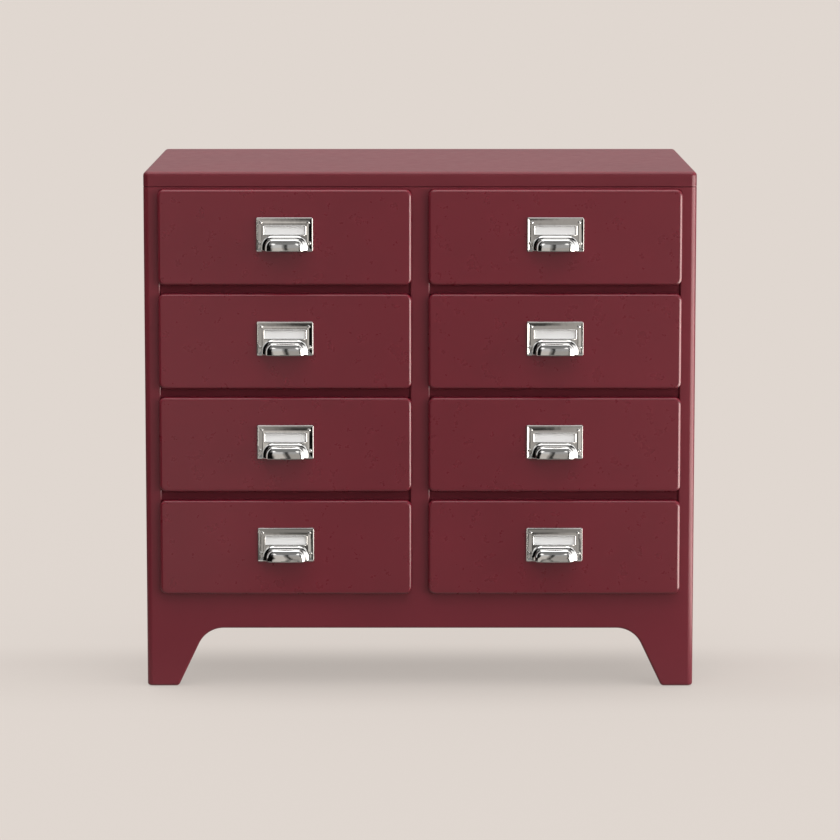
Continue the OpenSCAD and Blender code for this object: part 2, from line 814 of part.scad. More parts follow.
module pull_screws() {
    color("silver") at_pull() for (p = SCREW_PLACES)
        translate([p[0], -plate_t, p[1]]) rotate([90, 0, 0]) {
            difference() {
                intersection() {
                    cylinder(r = screw_head_r, h = screw_head_h);
                    translate([0, 0, screw_head_h - screw_dome_r]) sphere(screw_dome_r);
                }
                translate([-screw_slot_w / 2, -screw_head_r - 1, screw_head_h - screw_slot_d])
                    cube([screw_slot_w, 2 * screw_head_r + 2, 2 * screw_slot_d]);
            }
            translate([0, 0, -screw_l]) cylinder(r = screw_r, h = screw_l + eps);
        }
}

// ---- nodes ----

front_frame();
mirror([1, 0, 0]) side_panel();  // side_panel_left
side_panel();  // side_panel_right
back_panel();
back_screws();
top_cover();
bottom_panel();
centre_partition();
drawer_rails();
runners("left", -half_w + sheet_t);  // runners_outer_left
runners("left", -sheet_t / 2);  // runners_inner_left
runners("right", sheet_t / 2);  // runners_inner_right
runners("right", half_w - sheet_t);  // runners_outer_right
foot_plates();
foot_glides();

for (side = SIDES)
    for (row = [1:ROWS])
        at_drawer(side, row) {
            drawer_box();
            drawer_front();
            cup_pull();
            label_card();
            pull_screws();
        }
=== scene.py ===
import math

import bmesh
import bpy
from mathutils import Matrix, Vector


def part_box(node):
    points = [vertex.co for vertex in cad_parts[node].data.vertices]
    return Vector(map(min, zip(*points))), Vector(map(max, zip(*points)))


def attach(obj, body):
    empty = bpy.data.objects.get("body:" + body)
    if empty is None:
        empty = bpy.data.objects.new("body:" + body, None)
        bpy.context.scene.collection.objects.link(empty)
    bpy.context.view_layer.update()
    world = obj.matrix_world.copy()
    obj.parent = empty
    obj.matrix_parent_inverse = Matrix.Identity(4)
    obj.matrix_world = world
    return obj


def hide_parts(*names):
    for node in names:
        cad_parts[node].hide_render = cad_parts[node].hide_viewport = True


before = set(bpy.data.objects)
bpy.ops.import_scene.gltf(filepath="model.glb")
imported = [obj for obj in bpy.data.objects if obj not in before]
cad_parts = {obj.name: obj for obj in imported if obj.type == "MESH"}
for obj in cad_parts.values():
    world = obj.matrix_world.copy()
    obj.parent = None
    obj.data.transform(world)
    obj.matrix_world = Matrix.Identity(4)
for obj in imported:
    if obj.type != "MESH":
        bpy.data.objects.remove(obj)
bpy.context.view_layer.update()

# A sheet-steel chest of eight drawers, enamelled dark burgundy, with chromed pulls that hold
# label cards. Metres, in the part's own frame: the front faces -Y and the floor is z = 0.

MM = 0.001
DRAWERS = [(side, row) for side in ("left", "right") for row in (1, 2, 3, 4)]

# ---- places taken from the part ----

frame_low, frame_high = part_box("front_frame")
cover_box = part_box("top_cover")
HALF_W = frame_high.x
FRONT_Y = frame_low.y
BACK_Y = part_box("back_panel")[1].y
RETURN_END = frame_high.y
WALL_TOP = frame_high.z
FOOT_CLEAR = frame_low.z
BODY_H = cover_box[1].z
COVER_LOW = cover_box[0].z
SIDE_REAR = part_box("side_panel_right")[1].y

FACE_LOW, FACE_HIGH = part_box("drawer_front_right_1")
FACE_W = FACE_HIGH.x - FACE_LOW.x
FACE_H = FACE_HIGH.z - FACE_LOW.z
FACE_Y = FACE_LOW.y
COLUMN_X = (FACE_LOW.x + FACE_HIGH.x) / 2
BOX_LOW, BOX_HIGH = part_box("drawer_box_right_1")
PLATE_LOW, PLATE_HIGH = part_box("cup_pull_right_1")

# ---- sizes of the pressings ----

SHEET = 1.0 * MM
CORNER_R = 7.0 * MM             # upright corners of the body
SEAM = 0.3 * MM
ROLL = 2.0 * MM                 # the edges rolled in round the windows
LEG_ROLL = 2.8 * MM             # the edges rolled in round the legs
FOOT_LIP = 4.0 * MM             # depth of the lip under a foot
LEG_FLANGE = 12.0 * MM
TOP_FLANGE = 16.0 * MM
WINDOW_FLANGE = 15.0 * MM
WINDOW_R = 2.5 * MM
LAP = 2.0 * MM                  # by which a drawer front covers the window's edge
WINDOW_W = FACE_W - 2 * LAP
REAR_R = 4.0 * MM
REAR_FLANGE = 32.0 * MM
JOGGLE_BACK = 12.0 * MM         # strip of the side panel that runs behind the front's return
JOGGLE_ON = 6.0 * MM            # and on along the side
TOP_EDGE_R = 5.0 * MM
COVER_FLANGE = 14.0 * MM

LEG_H = 70.6 * MM
FOOT_W = 37.1 * MM
HIP_W = 70.8 * MM
HIP_R = 32.7 * MM
HIP_STEPS = 14
FOOT_R = 5.0 * MM
FOOT_STEPS = 7

FACE_CORNER_R = 8.0 * MM
FACE_EDGE_R = 3.5 * MM
FACE_LIP = 14.0 * MM
DRAWER_SHEET = 0.8 * MM
HOOK_W = 7.0 * MM
HOOK_DROP = 6.0 * MM
BEND_R = 1.2 * MM
FACE_SHEET = 0.9 * MM
RAIL_BEND_R = 0.8 * MM


# ---- making meshes ----

def rounded_loop(width, height, radius, steps):
    """Points round a centred rectangle with round corners, anticlockwise."""
    radius = max(radius, 0.01 * MM)
    points = []
    for quarter, (sx, sy) in enumerate([(1, 1), (-1, 1), (-1, -1), (1, -1)]):
        for i in range(steps + 1):
            a = math.radians(90 * (quarter + i / steps))
            points.append((
                sx * (width / 2 - radius) + radius * math.cos(a),
                sy * (height / 2 - radius) + radius * math.sin(a),
            ))
    return points


def add_loops(bm, loops, closed=True):
    """Joins loops of points, one to the next, and returns their vertices."""
    rings = [[bm.verts.new(p) for p in loop] for loop in loops]
    for low, high in zip(rings, rings[1:]):
        count = len(low)
        for i in range(count if closed else count - 1):
            j = (i + 1) % count
            bm.faces.new((low[i], low[j], high[j], high[i]))
    return rings


def arc(start, end, steps):
    """Angles in radians from start to end, given in degrees."""
    return [math.radians(start + (end - start) * i / steps) for i in range(steps + 1)]


def rolled(radius, top, end, steps):
    """A rolled edge as (inset, height): from its foot up and over to end, in degrees."""
    return [
        (radius * (1 - math.cos(a)), top - radius + radius * math.sin(a))
        for a in arc(0, end, steps)
    ]


def rounded_path(points, radius, steps=4):
    """A path through points in a plane, with every bend rounded."""
    corners = [Vector(p) for p in points]
    path = [corners[0]]
    for before, corner, after in zip(corners, corners[1:], corners[2:]):
        into = (corner - before).normalized()
        onward = (after - corner).normalized()
        turn = math.atan2(into.x * onward.y - into.y * onward.x, into.dot(onward))
        start = corner - into * radius * math.tan(abs(turn) / 2)
        centre = start + Vector((-into.y, into.x)) * math.copysign(radius, turn)
        for i in range(steps + 1):
            path.append(centre + Matrix.Rotation(turn * i / steps, 2) @ (start - centre))
    path.append(corners[-1])
    return path


def add_folded(bm, points, radius, place, start, end):
    """Adds a sheet folded along a path and drawn out from start to end."""
    path = rounded_path(points, radius)
    add_loops(bm, [[place(p.x, p.y, along) for p in path] for along in (start, end)], closed=False)


def new_object(name, data, material=None):
    """Puts a mesh, a lamp or a camera in the scene."""
    piece = bpy.data.objects.new(name, data)
    bpy.context.scene.collection.objects.link(piece)
    if material:
        data.materials.clear()
        data.materials.append(material)
    return piece


def freeze(piece):
    """Makes a piece and its modifiers one plain mesh."""
    graph = bpy.context.evaluated_depsgraph_get()
    mesh = bpy.data.meshes.new_from_object(piece.evaluated_get(graph), depsgraph=graph)
    piece.modifiers.clear()
    piece.data = mesh
    return piece


def shade(mesh, sharp=32):
    """Shades a mesh smooth, apart from edges sharper than the angle given in degrees."""
    mesh.shade_smooth()
    mesh.set_sharp_from_angle(angle=math.radians(sharp))


def mesh_from(bm, name, sheet=0.0, offset=-1.0, flip=False, sharp=32):
    """A finished mesh from the faces in bm, given the thickness of the sheet."""
    if flip:
        bmesh.ops.reverse_faces(bm, faces=bm.faces)
    mesh = bpy.data.meshes.new(name)
    bm.to_mesh(mesh)
    bm.free()
    if sheet:
        piece = new_object(name + ".skin", mesh)
        wall = piece.modifiers.new("sheet", "SOLIDIFY")
        wall.thickness = sheet
        wall.offset = offset
        wall.use_even_offset = True
        mesh = freeze(piece).data
        bpy.data.objects.remove(piece)
    shade(mesh, sharp)
    return mesh


def add_piece(name, mesh, material, slot, body, *nodes, offset=None):
    """Puts a finished mesh in place, riding on a body and standing for its nodes."""
    mesh = mesh.copy()
    mesh.name = name
    if offset is not None:
        mesh.transform(Matrix.Translation(offset))
    piece = new_object(name, mesh, material)
    even = piece.modifiers.new("even shading", "WEIGHTED_NORMAL")
    even.keep_sharp = True
    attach(piece, body)
    if nodes:
        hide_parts(*nodes)
    return piece


# ---- node trees ----

def add_node(tree, kind, inputs=None, **settings):
    """Adds a node, with its settings and with values or other nodes' sockets as inputs."""
    node = tree.nodes.new(kind)
    for key, value in settings.items():
        setattr(node, key, value)
    for key, value in (inputs or {}).items():
        if isinstance(value, bpy.types.NodeSocket):
            tree.links.new(value, node.inputs[key])
        else:
            node.inputs[key].default_value = value
    return node


def new_material(name):
    """A material with an empty tree."""
    material = bpy.data.materials.new(name)
    material.use_nodes = True
    material.node_tree.nodes.clear()
    return material


def mix_colour(tree, share, low, high):
    """The colour between low and high at the share given."""
    return add_node(tree, "ShaderNodeMix", {
        "Factor": share, 6: (*low, 1), 7: (*high, 1),
    }, data_type="RGBA").outputs[2]


def noise(tree, place, scale, detail, roughness=0.5):
    """A cloudy pattern, mostly between 0.3 and 0.7."""
    return add_node(tree, "ShaderNodeTexNoise", {
        "Vector": place, "Scale": scale, "Detail": detail, "Roughness": roughness,
    }).outputs["Fac"]


def ranged(tree, value, low, high, to_low, to_high, change="LINEAR"):
    """Maps a value between low and high to the range from to_low to to_high."""
    return add_node(tree, "ShaderNodeMapRange", {
        "Value": value, "From Min": low, "From Max": high, "To Min": to_low, "To Max": to_high,
    }, interpolation_type=change).outputs["Result"]


def spread(tree, value, low, high):
    """Maps a noise value about its middle to the range from low to high."""
    return ranged(tree, value, 0.3, 0.7, low, high)


def bump(tree, height, depth, under=None):
    """The normal of a surface raised by a pattern, over another such normal if one is given."""
    inputs = {"Height": height, "Distance": depth, "Strength": 1.0}
    if under is not None:
        inputs["Normal"] = under
    return add_node(tree, "ShaderNodeBump", inputs).outputs["Normal"]


def finish_material(material, inputs):
    """Gives a material its shader and its output."""
    tree = material.node_tree
    shader = add_node(tree, "ShaderNodeBsdfPrincipled", inputs)
    add_node(tree, "ShaderNodeOutputMaterial", {"Surface": shader.outputs[0]})
    return material


def new_finish(name):
    """A bare material, its tree, and the place on the piece that its patterns follow."""
    material = new_material(name)
    tree = material.node_tree
    return material, tree, add_node(tree, "ShaderNodeTexCoord").outputs["Object"]


# ---- finishes ----

def enamel(name, colour, rough_low, rough_high, gloss=0.5):
    """Stove enamel on sheet steel: a fine orange peel over a faintly uneven sheet."""
    material, tree, place = new_finish(name)
    cloud = spread(tree, noise(tree, place, 9, 3), 0, 1)
    tint = mix_colour(tree, cloud, [c * 0.95 for c in colour], [c * 1.05 for c in colour])
    sheet_wave = bump(tree, noise(tree, place, 11, 1), 0.3 * MM)
    peel = bump(tree, noise(tree, place, 850, 2), 0.003 * MM, sheet_wave)
    return finish_material(material, {
        "Base Color": tint,
        "Roughness": spread(tree, noise(tree, place, 60, 4, 0.6), rough_low, rough_high),
        "Normal": peel,
        "Specular IOR Level": gloss,
    })


def chrome(name, colour, rough_low, rough_high):
    """Bright chrome over stamped steel: slightly wavy, with faint smears."""
    material, tree, place = new_finish(name)
    wave = bump(tree, noise(tree, place, 140, 1), 0.04 * MM)
    return finish_material(material, {
        "Base Color": mix_colour(tree, noise(tree, place, 300, 3), colour, [c * 0.9 for c in colour]),
        "Metallic": 1.0,
        "Roughness": spread(tree, noise(tree, place, 220, 4, 0.6), rough_low, rough_high),
        "Normal": wave,
    })


def zinc(name, colour):
    """Zinc plating: a dull metal with soft spangles."""
    material, tree, place = new_finish(name)
    spangle = add_node(tree, "ShaderNodeTexVoronoi", {"Vector": place, "Scale": 180.0})
    tarnish = spread(tree, noise(tree, place, 120, 3), 0, 1)
    tint = mix_colour(tree, tarnish, [c * 0.82 for c in colour], colour)
    return finish_material(material, {
        "Base Color": tint,
        "Metallic": 1.0,
        "Roughness": ranged(tree, spangle.outputs["Distance"], 0.0, 1.0, 0.28, 0.46),
        "Normal": bump(tree, noise(tree, place, 900, 2), 0.01 * MM),
    })


def paper_card(name, colour):
    """Plain card: matt, faintly fibrous."""
    material, tree, place = new_finish(name)
    fibre = noise(tree, place, 1400, 4, 0.7)
    return finish_material(material, {
        "Base Color": mix_colour(tree, fibre, [c * 0.93 for c in colour], colour),
        "Roughness": 0.9,
        "Specular IOR Level": 0.2,
        "Normal": bump(tree, fibre, 0.02 * MM),
    })


def moulded_black(name):
    """Moulded black plastic with a fine grain."""
    material, tree, place = new_finish(name)
    return finish_material(material, {
        "Base Color": mix_colour(tree, noise(tree, place, 80, 2), (0.014,) * 3, (0.024,) * 3),
        "Roughness": spread(tree, noise(tree, place, 200, 3), 0.42, 0.6),
        "Normal": bump(tree, noise(tree, place, 1500, 2), 0.02 * MM),
    })


BURGUNDY = (0.126, 0.0136, 0.0220)
SHEET_ENAMEL = enamel("burgundy_enamel_body", BURGUNDY, 0.29, 0.34, 0.34)
# The cover's enamel is the body's, painted a tenth darker: painted shade that tones down its brightly lit
# top.
COVER_ENAMEL_SHADED = enamel("burgundy_enamel_cover_shaded", [c * 0.9 for c in BURGUNDY], 0.29, 0.34, 0.34)
# The rails' enamel is the body's, painted darker and duller: painted shade for the gaps between the
# drawers.
RAIL_ENAMEL_SHADED = enamel("burgundy_enamel_rails_shaded", [c * 0.8 for c in BURGUNDY], 0.45, 0.55, 0.1)
FRONT_ENAMEL = enamel("burgundy_enamel_fronts", (0.115, 0.0050, 0.0132), 0.27, 0.29, 0.62)
TRAY_ENAMEL = enamel("burgundy_enamel_trays", [c * 0.97 for c in BURGUNDY], 0.34, 0.44)
RUNNER_ZINC = zinc("zinc_on_runners", (0.46, 0.46, 0.45))
SCREW_ZINC = zinc("zinc_on_screws", (0.52, 0.52, 0.50))
PULL_CHROME = chrome("chrome_on_pulls", (0.68, 0.68, 0.67), 0.05, 0.10)
SCREW_CHROME = chrome("chrome_on_screws", (0.66, 0.66, 0.65), 0.08, 0.16)
LABEL_CARD = paper_card("white_card", (0.76, 0.76, 0.755))
GLIDE_BLACK = moulded_black("black_glide_plastic")


# ---- walls pressed from sheet ----

def leg_half(width):
    """The lower edge of a wall, from its middle to the underside of its right foot.

    Each point is (along, height, normal into the sheet, depth of the flange behind)."""
    lean = math.degrees(math.atan((HIP_W - FOOT_W) / LEG_H))
    half_turn = math.tan(math.radians(90 - lean) / 2)
    hip_x = width / 2 - HIP_W - HIP_R * half_turn
    hip_z = LEG_H - HIP_R
    foot_x = width / 2 - FOOT_W - FOOT_CLEAR * math.tan(math.radians(lean)) + FOOT_R * half_turn
    foot_z = FOOT_CLEAR + FOOT_R
    points = [(0, LEG_H, (0, 1), LEG_FLANGE)]
    for a in arc(90, lean, HIP_STEPS):
        normal = (math.cos(a), math.sin(a))
        points.append((hip_x + HIP_R * normal[0], hip_z + HIP_R * normal[1], normal, LEG_FLANGE))
    for i, a in enumerate(arc(lean, 90, FOOT_STEPS)):
        normal = (math.cos(a), math.sin(a))
        flange = LEG_FLANGE + (FOOT_LIP - LEG_FLANGE) * i / FOOT_STEPS
        points.append((foot_x - FOOT_R * normal[0], foot_z - FOOT_R * normal[1], normal, flange))
    return points


def mirrored_half(points):
    """The same edge on the wall's other half."""
    return [(-u, z, (-n[0], n[1]), flange) for u, z, n, flange in reversed(points)]


def turned_edge(stations):
    """Points of a plain bottom edge at the stations, with the lip that runs under the feet."""
    return [(along, FOOT_CLEAR, (0, 1), FOOT_LIP) for along in stations]


def roll_stages(radius):
    """How far in from a rolled edge and how deep behind the sheet its round runs."""
    return [(radius * (1 - math.sin(a)), radius * (1 - math.cos(a))) for a in arc(0, 90, 5)]


def add_wall(bm, path, flat_low, flat_high, top, wrap, windows=(), facing=1):
    """A wall whose lower edge is rolled in along path, with rolled windows cut in it.

    wrap(along, height, depth) bends the drawn wall round the body's corners. facing is -1
    where it also mirrors the wall, which is then turned the right way round at the end."""
    rows = []
    for inset, depth in roll_stages(LEG_ROLL):
        rows.append([
            bm.verts.new(wrap(u + n[0] * inset, z + n[1] * inset, depth))
            for u, z, n, flange in path
        ])
    rows.append([bm.verts.new(wrap(u, z, flange)) for u, z, n, flange in path])
    for upper, lower in zip(rows, rows[1:]):
        for i in range(len(path) - 1):
            bm.faces.new((upper[i], lower[i], lower[i + 1], upper[i + 1]))

    edge = rows[0]
    tops = {}

    def top_at(i):
        if i not in tops:
            tops[i] = bm.verts.new(wrap(path[i][0], top, 0))
        return tops[i]

    flat = [i for i, p in enumerate(path) if flat_low - 1e-6 <= p[0] <= flat_high + 1e-6]
    for i in range(len(path) - 1):
        if i < flat[0] or i >= flat[-1]:
            bm.faces.new((edge[i], edge[i + 1], top_at(i + 1), top_at(i)))

    outline = [edge[i] for i in flat] + [top_at(flat[-1]), top_at(flat[0])]
    loops = [outline]
    for cx, cz, width, height in windows:
        rings = [
            [wrap(cx + u, cz + v, depth) for u, v in
             rounded_loop(width + 2 * inset, height + 2 * inset, WINDOW_R + inset, 4)]
            for inset, depth in roll_stages(ROLL)
        ]
        rings.append([
            wrap(cx + u, cz + v, WINDOW_FLANGE)
            for u, v in rounded_loop(width, height, WINDOW_R, 4)
        ])
        loops.append(add_loops(bm, rings)[0])
    edges = []
    for loop in loops:
        for a, b in zip(loop, loop[1:] + loop[:1]):
            edges.append(bm.edges.get((a, b)) or bm.edges.new((a, b)))
    outward = wrap(flat_low, top, -1) - wrap(flat_low, top, 0)
    filled = bmesh.ops.triangle_fill(bm, edges=edges, use_beauty=True, normal=outward)
    for f in filled["geom"]:
        if isinstance(f, bmesh.types.BMFace):
            f.normal_update()
            if f.normal.dot(outward) * facing < 0:
                f.normal_flip()
    flange = [
        bm.verts.new(wrap(along, top, TOP_FLANGE)) for along in (flat_high, flat_low)
    ]
    bm.faces.new((top_at(flat[0]), top_at(flat[-1]), flange[0], flange[1]))


def corner_stations(start, radius, beyond, steps=8):
    """Places along a wall from start round a corner, and then straight on."""
    turn = radius * math.pi / 2
    return [start + turn * i / steps for i in range(steps + 1)] + [start + turn + beyond]


def round_corner(past, radius, depth):
    """Where a sheet gets to round a corner: how far on, and how far in from the first face.

    past is the way gone since the corner's start, and depth the place behind the sheet's face."""
    turn = radius * math.pi / 2
    if past <= 0:
        return past, depth
    if past < turn:
        a = past / radius
        return (radius - depth) * math.sin(a), radius - (radius - depth) * math.cos(a)
    return radius - depth, radius + past - turn


def front_wrap(along, height, depth):
    """Bends the front round both corners of the body and on along its sides."""
    flat = HALF_W - CORNER_R
    onward, inward = round_corner(abs(along) - flat, CORNER_R, depth)
    return Vector((math.copysign(flat + onward, along), FRONT_Y + inward, height))


def front_frame():
    """The front's stiles, apron and legs in one pressing, wrapped round both corners."""
    flat = HALF_W - CORNER_R
    stations = corner_stations(flat, CORNER_R, RETURN_END - FRONT_Y - CORNER_R)
    half = leg_half(2 * HALF_W) + turned_edge(stations)
    path = mirrored_half(half)[:-1] + half
    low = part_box("drawer_front_right_4")[0].z + LAP
    high = FACE_HIGH.z - LAP
    windows = [(s * COLUMN_X, (low + high) / 2, WINDOW_W, high - low) for s in (-1, 1)]
    bm = bmesh.new()
    add_wall(bm, path, -flat, flat, WALL_TOP, front_wrap, windows)
    return mesh_from(bm, "front_frame", SHEET)


def side_panel(side):
    """A side wall with its leg opening, turned in at the rear and joggled behind the front."""
    sign = -1 if side == "left" else 1
    length = SIDE_REAR - FRONT_Y
    middle = (SIDE_REAR + FRONT_Y) / 2
    flat_low = RETURN_END + SEAM - middle
    flat_high = length / 2 - REAR_R

    def wrap(along, height, depth):
        onward, inward = round_corner(along - flat_high, REAR_R, depth)
        return Vector((sign * (HALF_W - inward), middle + flat_high + onward, height))

    stations = corner_stations(flat_high, REAR_R, REAR_FLANGE - REAR_R)
    half = leg_half(length)
    path = turned_edge([flat_low]) + mirrored_half(half)[:-1] + half
    path += turned_edge(stations)
    bm = bmesh.new()
    add_wall(bm, path, flat_low, flat_high, WALL_TOP, wrap, facing=sign)
    joggle = [RETURN_END - JOGGLE_BACK - middle, flat_low + JOGGLE_ON]
    add_loops(bm, [
        [wrap(along, height, SHEET) for along in joggle]
        for height in (FOOT_CLEAR + FOOT_LIP, WALL_TOP - SHEET)
    ], closed=False)
    return mesh_from(bm, "side_panel", SHEET, flip=side == "left")


def place_up(centre, low):
    """Lays a flat drawing level, raised by low."""
    return lambda u, v, out: Vector((centre.x + u, centre.y + v, low + out))


def place_front(face_y, centre_z=0.0):
    """Stands a flat drawing upright, facing the front."""
    return lambda u, v, out: Vector((u, face_y - out, centre_z + v))


def add_pan(bm, width, height, corner_r, profile, place, steps=8):
    """A pressed pan: profile runs as (inset, out) from its lip to its closed face."""
    loops = []
    for inset, out in profile:
        outline = rounded_loop(
            width - 2 * inset, height - 2 * inset, max(corner_r - inset, 0.4 * MM), steps
        )
        loops.append([place(u, v, out) for u, v in outline])
    rings = add_loops(bm, loops)
    bm.faces.new(rings[-1])


def pan_profile(lip, depth, back_r, edge_r, steps=8):
    """From the lip's edge round the back, up the side and over the front edge."""
    profile = [(lip, 0.0)]
    profile += [(back_r * (1 - math.sin(a)), back_r * (1 - math.cos(a))) for a in arc(0, 90, 4)]
    return profile + rolled(edge_r, depth, 90, steps)


def top_cover():
    """The cover with its rounded edge, its skirt and the flange turned in below."""
    bm = bmesh.new()
    centre = (cover_box[0] + cover_box[1]) / 2
    size = cover_box[1] - cover_box[0]
    add_pan(
        bm, size.x, size.y, CORNER_R,
        pan_profile(COVER_FLANGE, BODY_H - COVER_LOW, SHEET, TOP_EDGE_R),
        place_up(centre, COVER_LOW),
    )
    return mesh_from(bm, "top_cover", SHEET)


def back_panel():
    """A flat sheet with two stiffening beads pressed in towards the drawers."""
    low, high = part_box("back_panel")
    bead_half = 5.5 * MM
    bead_rise = 2.2 * MM
    bead_end = 60 * MM
    beads = (low.x * 0.5, high.x * 0.5)
    columns = {low.x, high.x, *(bead + bead_half * i / 8 for bead in beads for i in range(-9, 10))}
    rounds = [bead_end + bead_half * i / 6 for i in range(-1, 7)]
    rows = {low.z, high.z, *(low.z + r for r in rounds), *(high.z - r for r in rounds)}

    def pressed(x, z):
        past = max(low.z + bead_end + bead_half - z, z - high.z + bead_end + bead_half, 0)
        away = min(1, *(math.hypot(x - bead, past) / bead_half for bead in beads))
        return bead_rise * (0.5 + 0.5 * math.cos(math.pi * away))

    bm = bmesh.new()
    loops = [
        [Vector((x, BACK_Y - pressed(x, z), z)) for x in sorted(columns, reverse=True)]
        for z in sorted(rows)
    ]
    add_loops(bm, loops, closed=False)
    return mesh_from(bm, "back_panel", SHEET)


# ---- drawers ----

def drawer_front():
    """The pressed pan of one drawer front, standing on its lower edge's middle."""
    bm = bmesh.new()
    add_pan(
        bm, FACE_W, FACE_H, FACE_CORNER_R,
        pan_profile(FACE_LIP, FACE_HIGH.y - FACE_Y, SHEET, FACE_EDGE_R),
        place_front(FACE_HIGH.y, FACE_H / 2),
    )
    return mesh_from(bm, "drawer_front", FACE_SHEET)


def drawer_box():
    """The folded tray with hemmed ends, and hooked flanges along its sides."""
    half = (BOX_HIGH.x - BOX_LOW.x) / 2 - HOOK_W
    low = BOX_LOW.z - FACE_LOW.z
    height = BOX_HIGH.z - BOX_LOW.z
    front, rear = BOX_LOW.y, BOX_HIGH.y
    t = DRAWER_SHEET
    skin = 0.6 * t                   # from the tray's end to the middle of its sheet
    hem = skin + 1.1 * t
    hem_drop = 8 * MM
    on_floor = 1.6 * t
    foot = 12 * MM
    bm = bmesh.new()
    section = [
        (half + HOOK_W - t / 2, height - HOOK_DROP), (half + HOOK_W - t / 2, height - t / 2),
        (half - t / 2, height - t / 2), (half - t / 2, t / 2),
    ]
    section += [(-x, z) for x, z in reversed(section)]
    add_folded(
        bm, section, BEND_R, lambda x, z, y: Vector((x, y, low + z)),
        front + 1.5 * t, rear - 0.2 * MM,
    )
    for wall, inward in ((front, 1), (rear, -1)):
        end = [
            (wall + inward * foot, on_floor), (wall + inward * skin, on_floor),
            (wall + inward * skin, height - t), (wall + inward * hem, height - t),
            (wall + inward * hem, height - hem_drop),
        ]
        add_folded(
            bm, end, 0.42 * t, lambda y, z, x: Vector((x, y, low + z)),
            -half + 1.4 * t, half - 1.4 * t,
        )
    return mesh_from(bm, "drawer_box", t, offset=0)


# ---- label-holder cup pull ----

PLATE_W = PLATE_HIGH.x - PLATE_LOW.x
PLATE_H = 40.2 * MM
PLATE_T = 1.4 * MM
PLATE_R = 1.5 * MM
RIM_H = 2.6 * MM
RIM_W = 1.6 * MM
BEVEL_W = 5.5 * MM
LABEL_W = 48.3 * MM
LABEL_H = 9.7 * MM
LABEL_LOW = 20.2 * MM
FRAME_W = 1.3 * MM
FRAME_H = 2.2 * MM
FRAME_CORNER_R = 1.4 * MM
CUP_W = 54.6 * MM
CUP_H = 19.4 * MM
CUP_R = 13.5 * MM
CUP_FACE_W = 31.0 * MM
CUP_FACE_H = 10.4 * MM
CUP_FACE_R = 5.0 * MM
CUP_PROUD = FACE_Y - PLATE_LOW.y
CUP_LOW = 2.0 * MM
CUP_WALL = 1.2 * MM
SCREW_HEAD_R = 2.0 * MM
SCREW_HEAD_H = 1.3 * MM
SLOT_W = 0.5 * MM
SLOT_D = 0.6 * MM
PULL_LOW = PLATE_LOW.z - FACE_LOW.z
PULL_SCREWS = [
    (side * (PLATE_W / 2 - inset), up)
    for side in (-1, 1)
    for inset, up in ((4.1 * MM, 9.8 * MM), (5.7 * MM, PLATE_H - 6.0 * MM))
]

# The cup's wall from the plate to its face, as (share of the draw-in, slope in degrees at the
# start, slope at the end): a steep root, a rounded step, a second steep rise, a rounded brow,
# and the face, which lies on a low crown
CUP_STEP = [(0.045, 87, 82), (0.060, 41.5, 39), (0.115, 34, 23), (0.150, 22, 16), (0.020, 20, 70)]
CUP_STEEP = [(0.045, 86, 80)]
CUP_BROW = [(0.130, 41.5, 39), (0.045, 33, 23), (0.070, 22, 16), (0.320, 15, 9)]
CUP_FACE = [(0.850, 0, 0)]
CROWN_ACROSS = 9.0              # slope of the crown at the face's sides, in degrees
CROWN_UP = 6.0                  # and at its top
LIP_R = CUP_WALL / 2 + 0.1 * MM


def cup_levels(steps=7):
    """The cup's wall as (share drawn in, share of the height), worked out from its slopes."""
    draw = (CUP_W - CUP_FACE_W) / 2
    levels = [(0.0, 0.0)]
    for share, start, end in CUP_STEP + CUP_STEEP + CUP_BROW + CUP_FACE:
        for i in range(steps):
            slope = math.radians(start + (end - start) * (i + 0.5) / steps)
            x, z = levels[-1]
            levels.append((x + share / steps, z + math.tan(slope) * share * draw / steps))
    top = levels[-1][1]
    return [(x, z / top) for x, z in levels]


def cup_outline(share, wall, steps=16, spans=10):
    """The arch of the cup's wall at one level, from its lower left end to its lower right."""
    half = CUP_W / 2 - wall - share * (CUP_W - CUP_FACE_W) / 2
    top = CUP_H - wall - share * (CUP_H - CUP_FACE_H)
    radius = max(CUP_R - wall - share * (CUP_R - CUP_FACE_R), 0.5 * MM)
    left = [(-half, CUP_LOW), (-half, (CUP_LOW + top - radius) / 2)]
    left += [
        (-half + radius + radius * math.cos(a), top - radius + radius * math.sin(a))
        for a in arc(180, 90, steps)
    ]
    across = [((half - radius) * (2 * i / spans - 1), top) for i in range(1, spans)]
    return left + across + [(-u, v) for u, v in reversed(left)]


def crown_fall(u, v):
    """How far the face has fallen from its crown, low in its middle, at a place on it."""
    across = math.tan(math.radians(CROWN_ACROSS)) * u * u / CUP_FACE_W
    up = math.tan(math.radians(CROWN_UP)) * (v - CUP_LOW) ** 2 / (2 * (CUP_FACE_H - CUP_LOW))
    return across + up


def cup_skin(place, wall):
    """One skin of the cup, as loops from its root to its face."""
    root = 0.6 * MM
    rise = CUP_PROUD - root - LIP_R + CUP_WALL / 2
    crown_from = sum(part[0] for part in CUP_STEP)
    crown_in = CUP_STEEP[0][0]
    brow_end = cup_outline(1.0, wall)
    loops = []
    for share, level in cup_levels():
        fade = min(max((share - crown_from) / crown_in, 0), 1)
        outline = cup_outline(share, wall)
        falls = [crown_fall(u, v) for u, v in (outline if share > 1 else brow_end)]
        loops.append([
            place(u, v, root + (rise - wall) * level - fade * fall)
            for (u, v), fall in zip(outline, falls)
        ])
    return loops


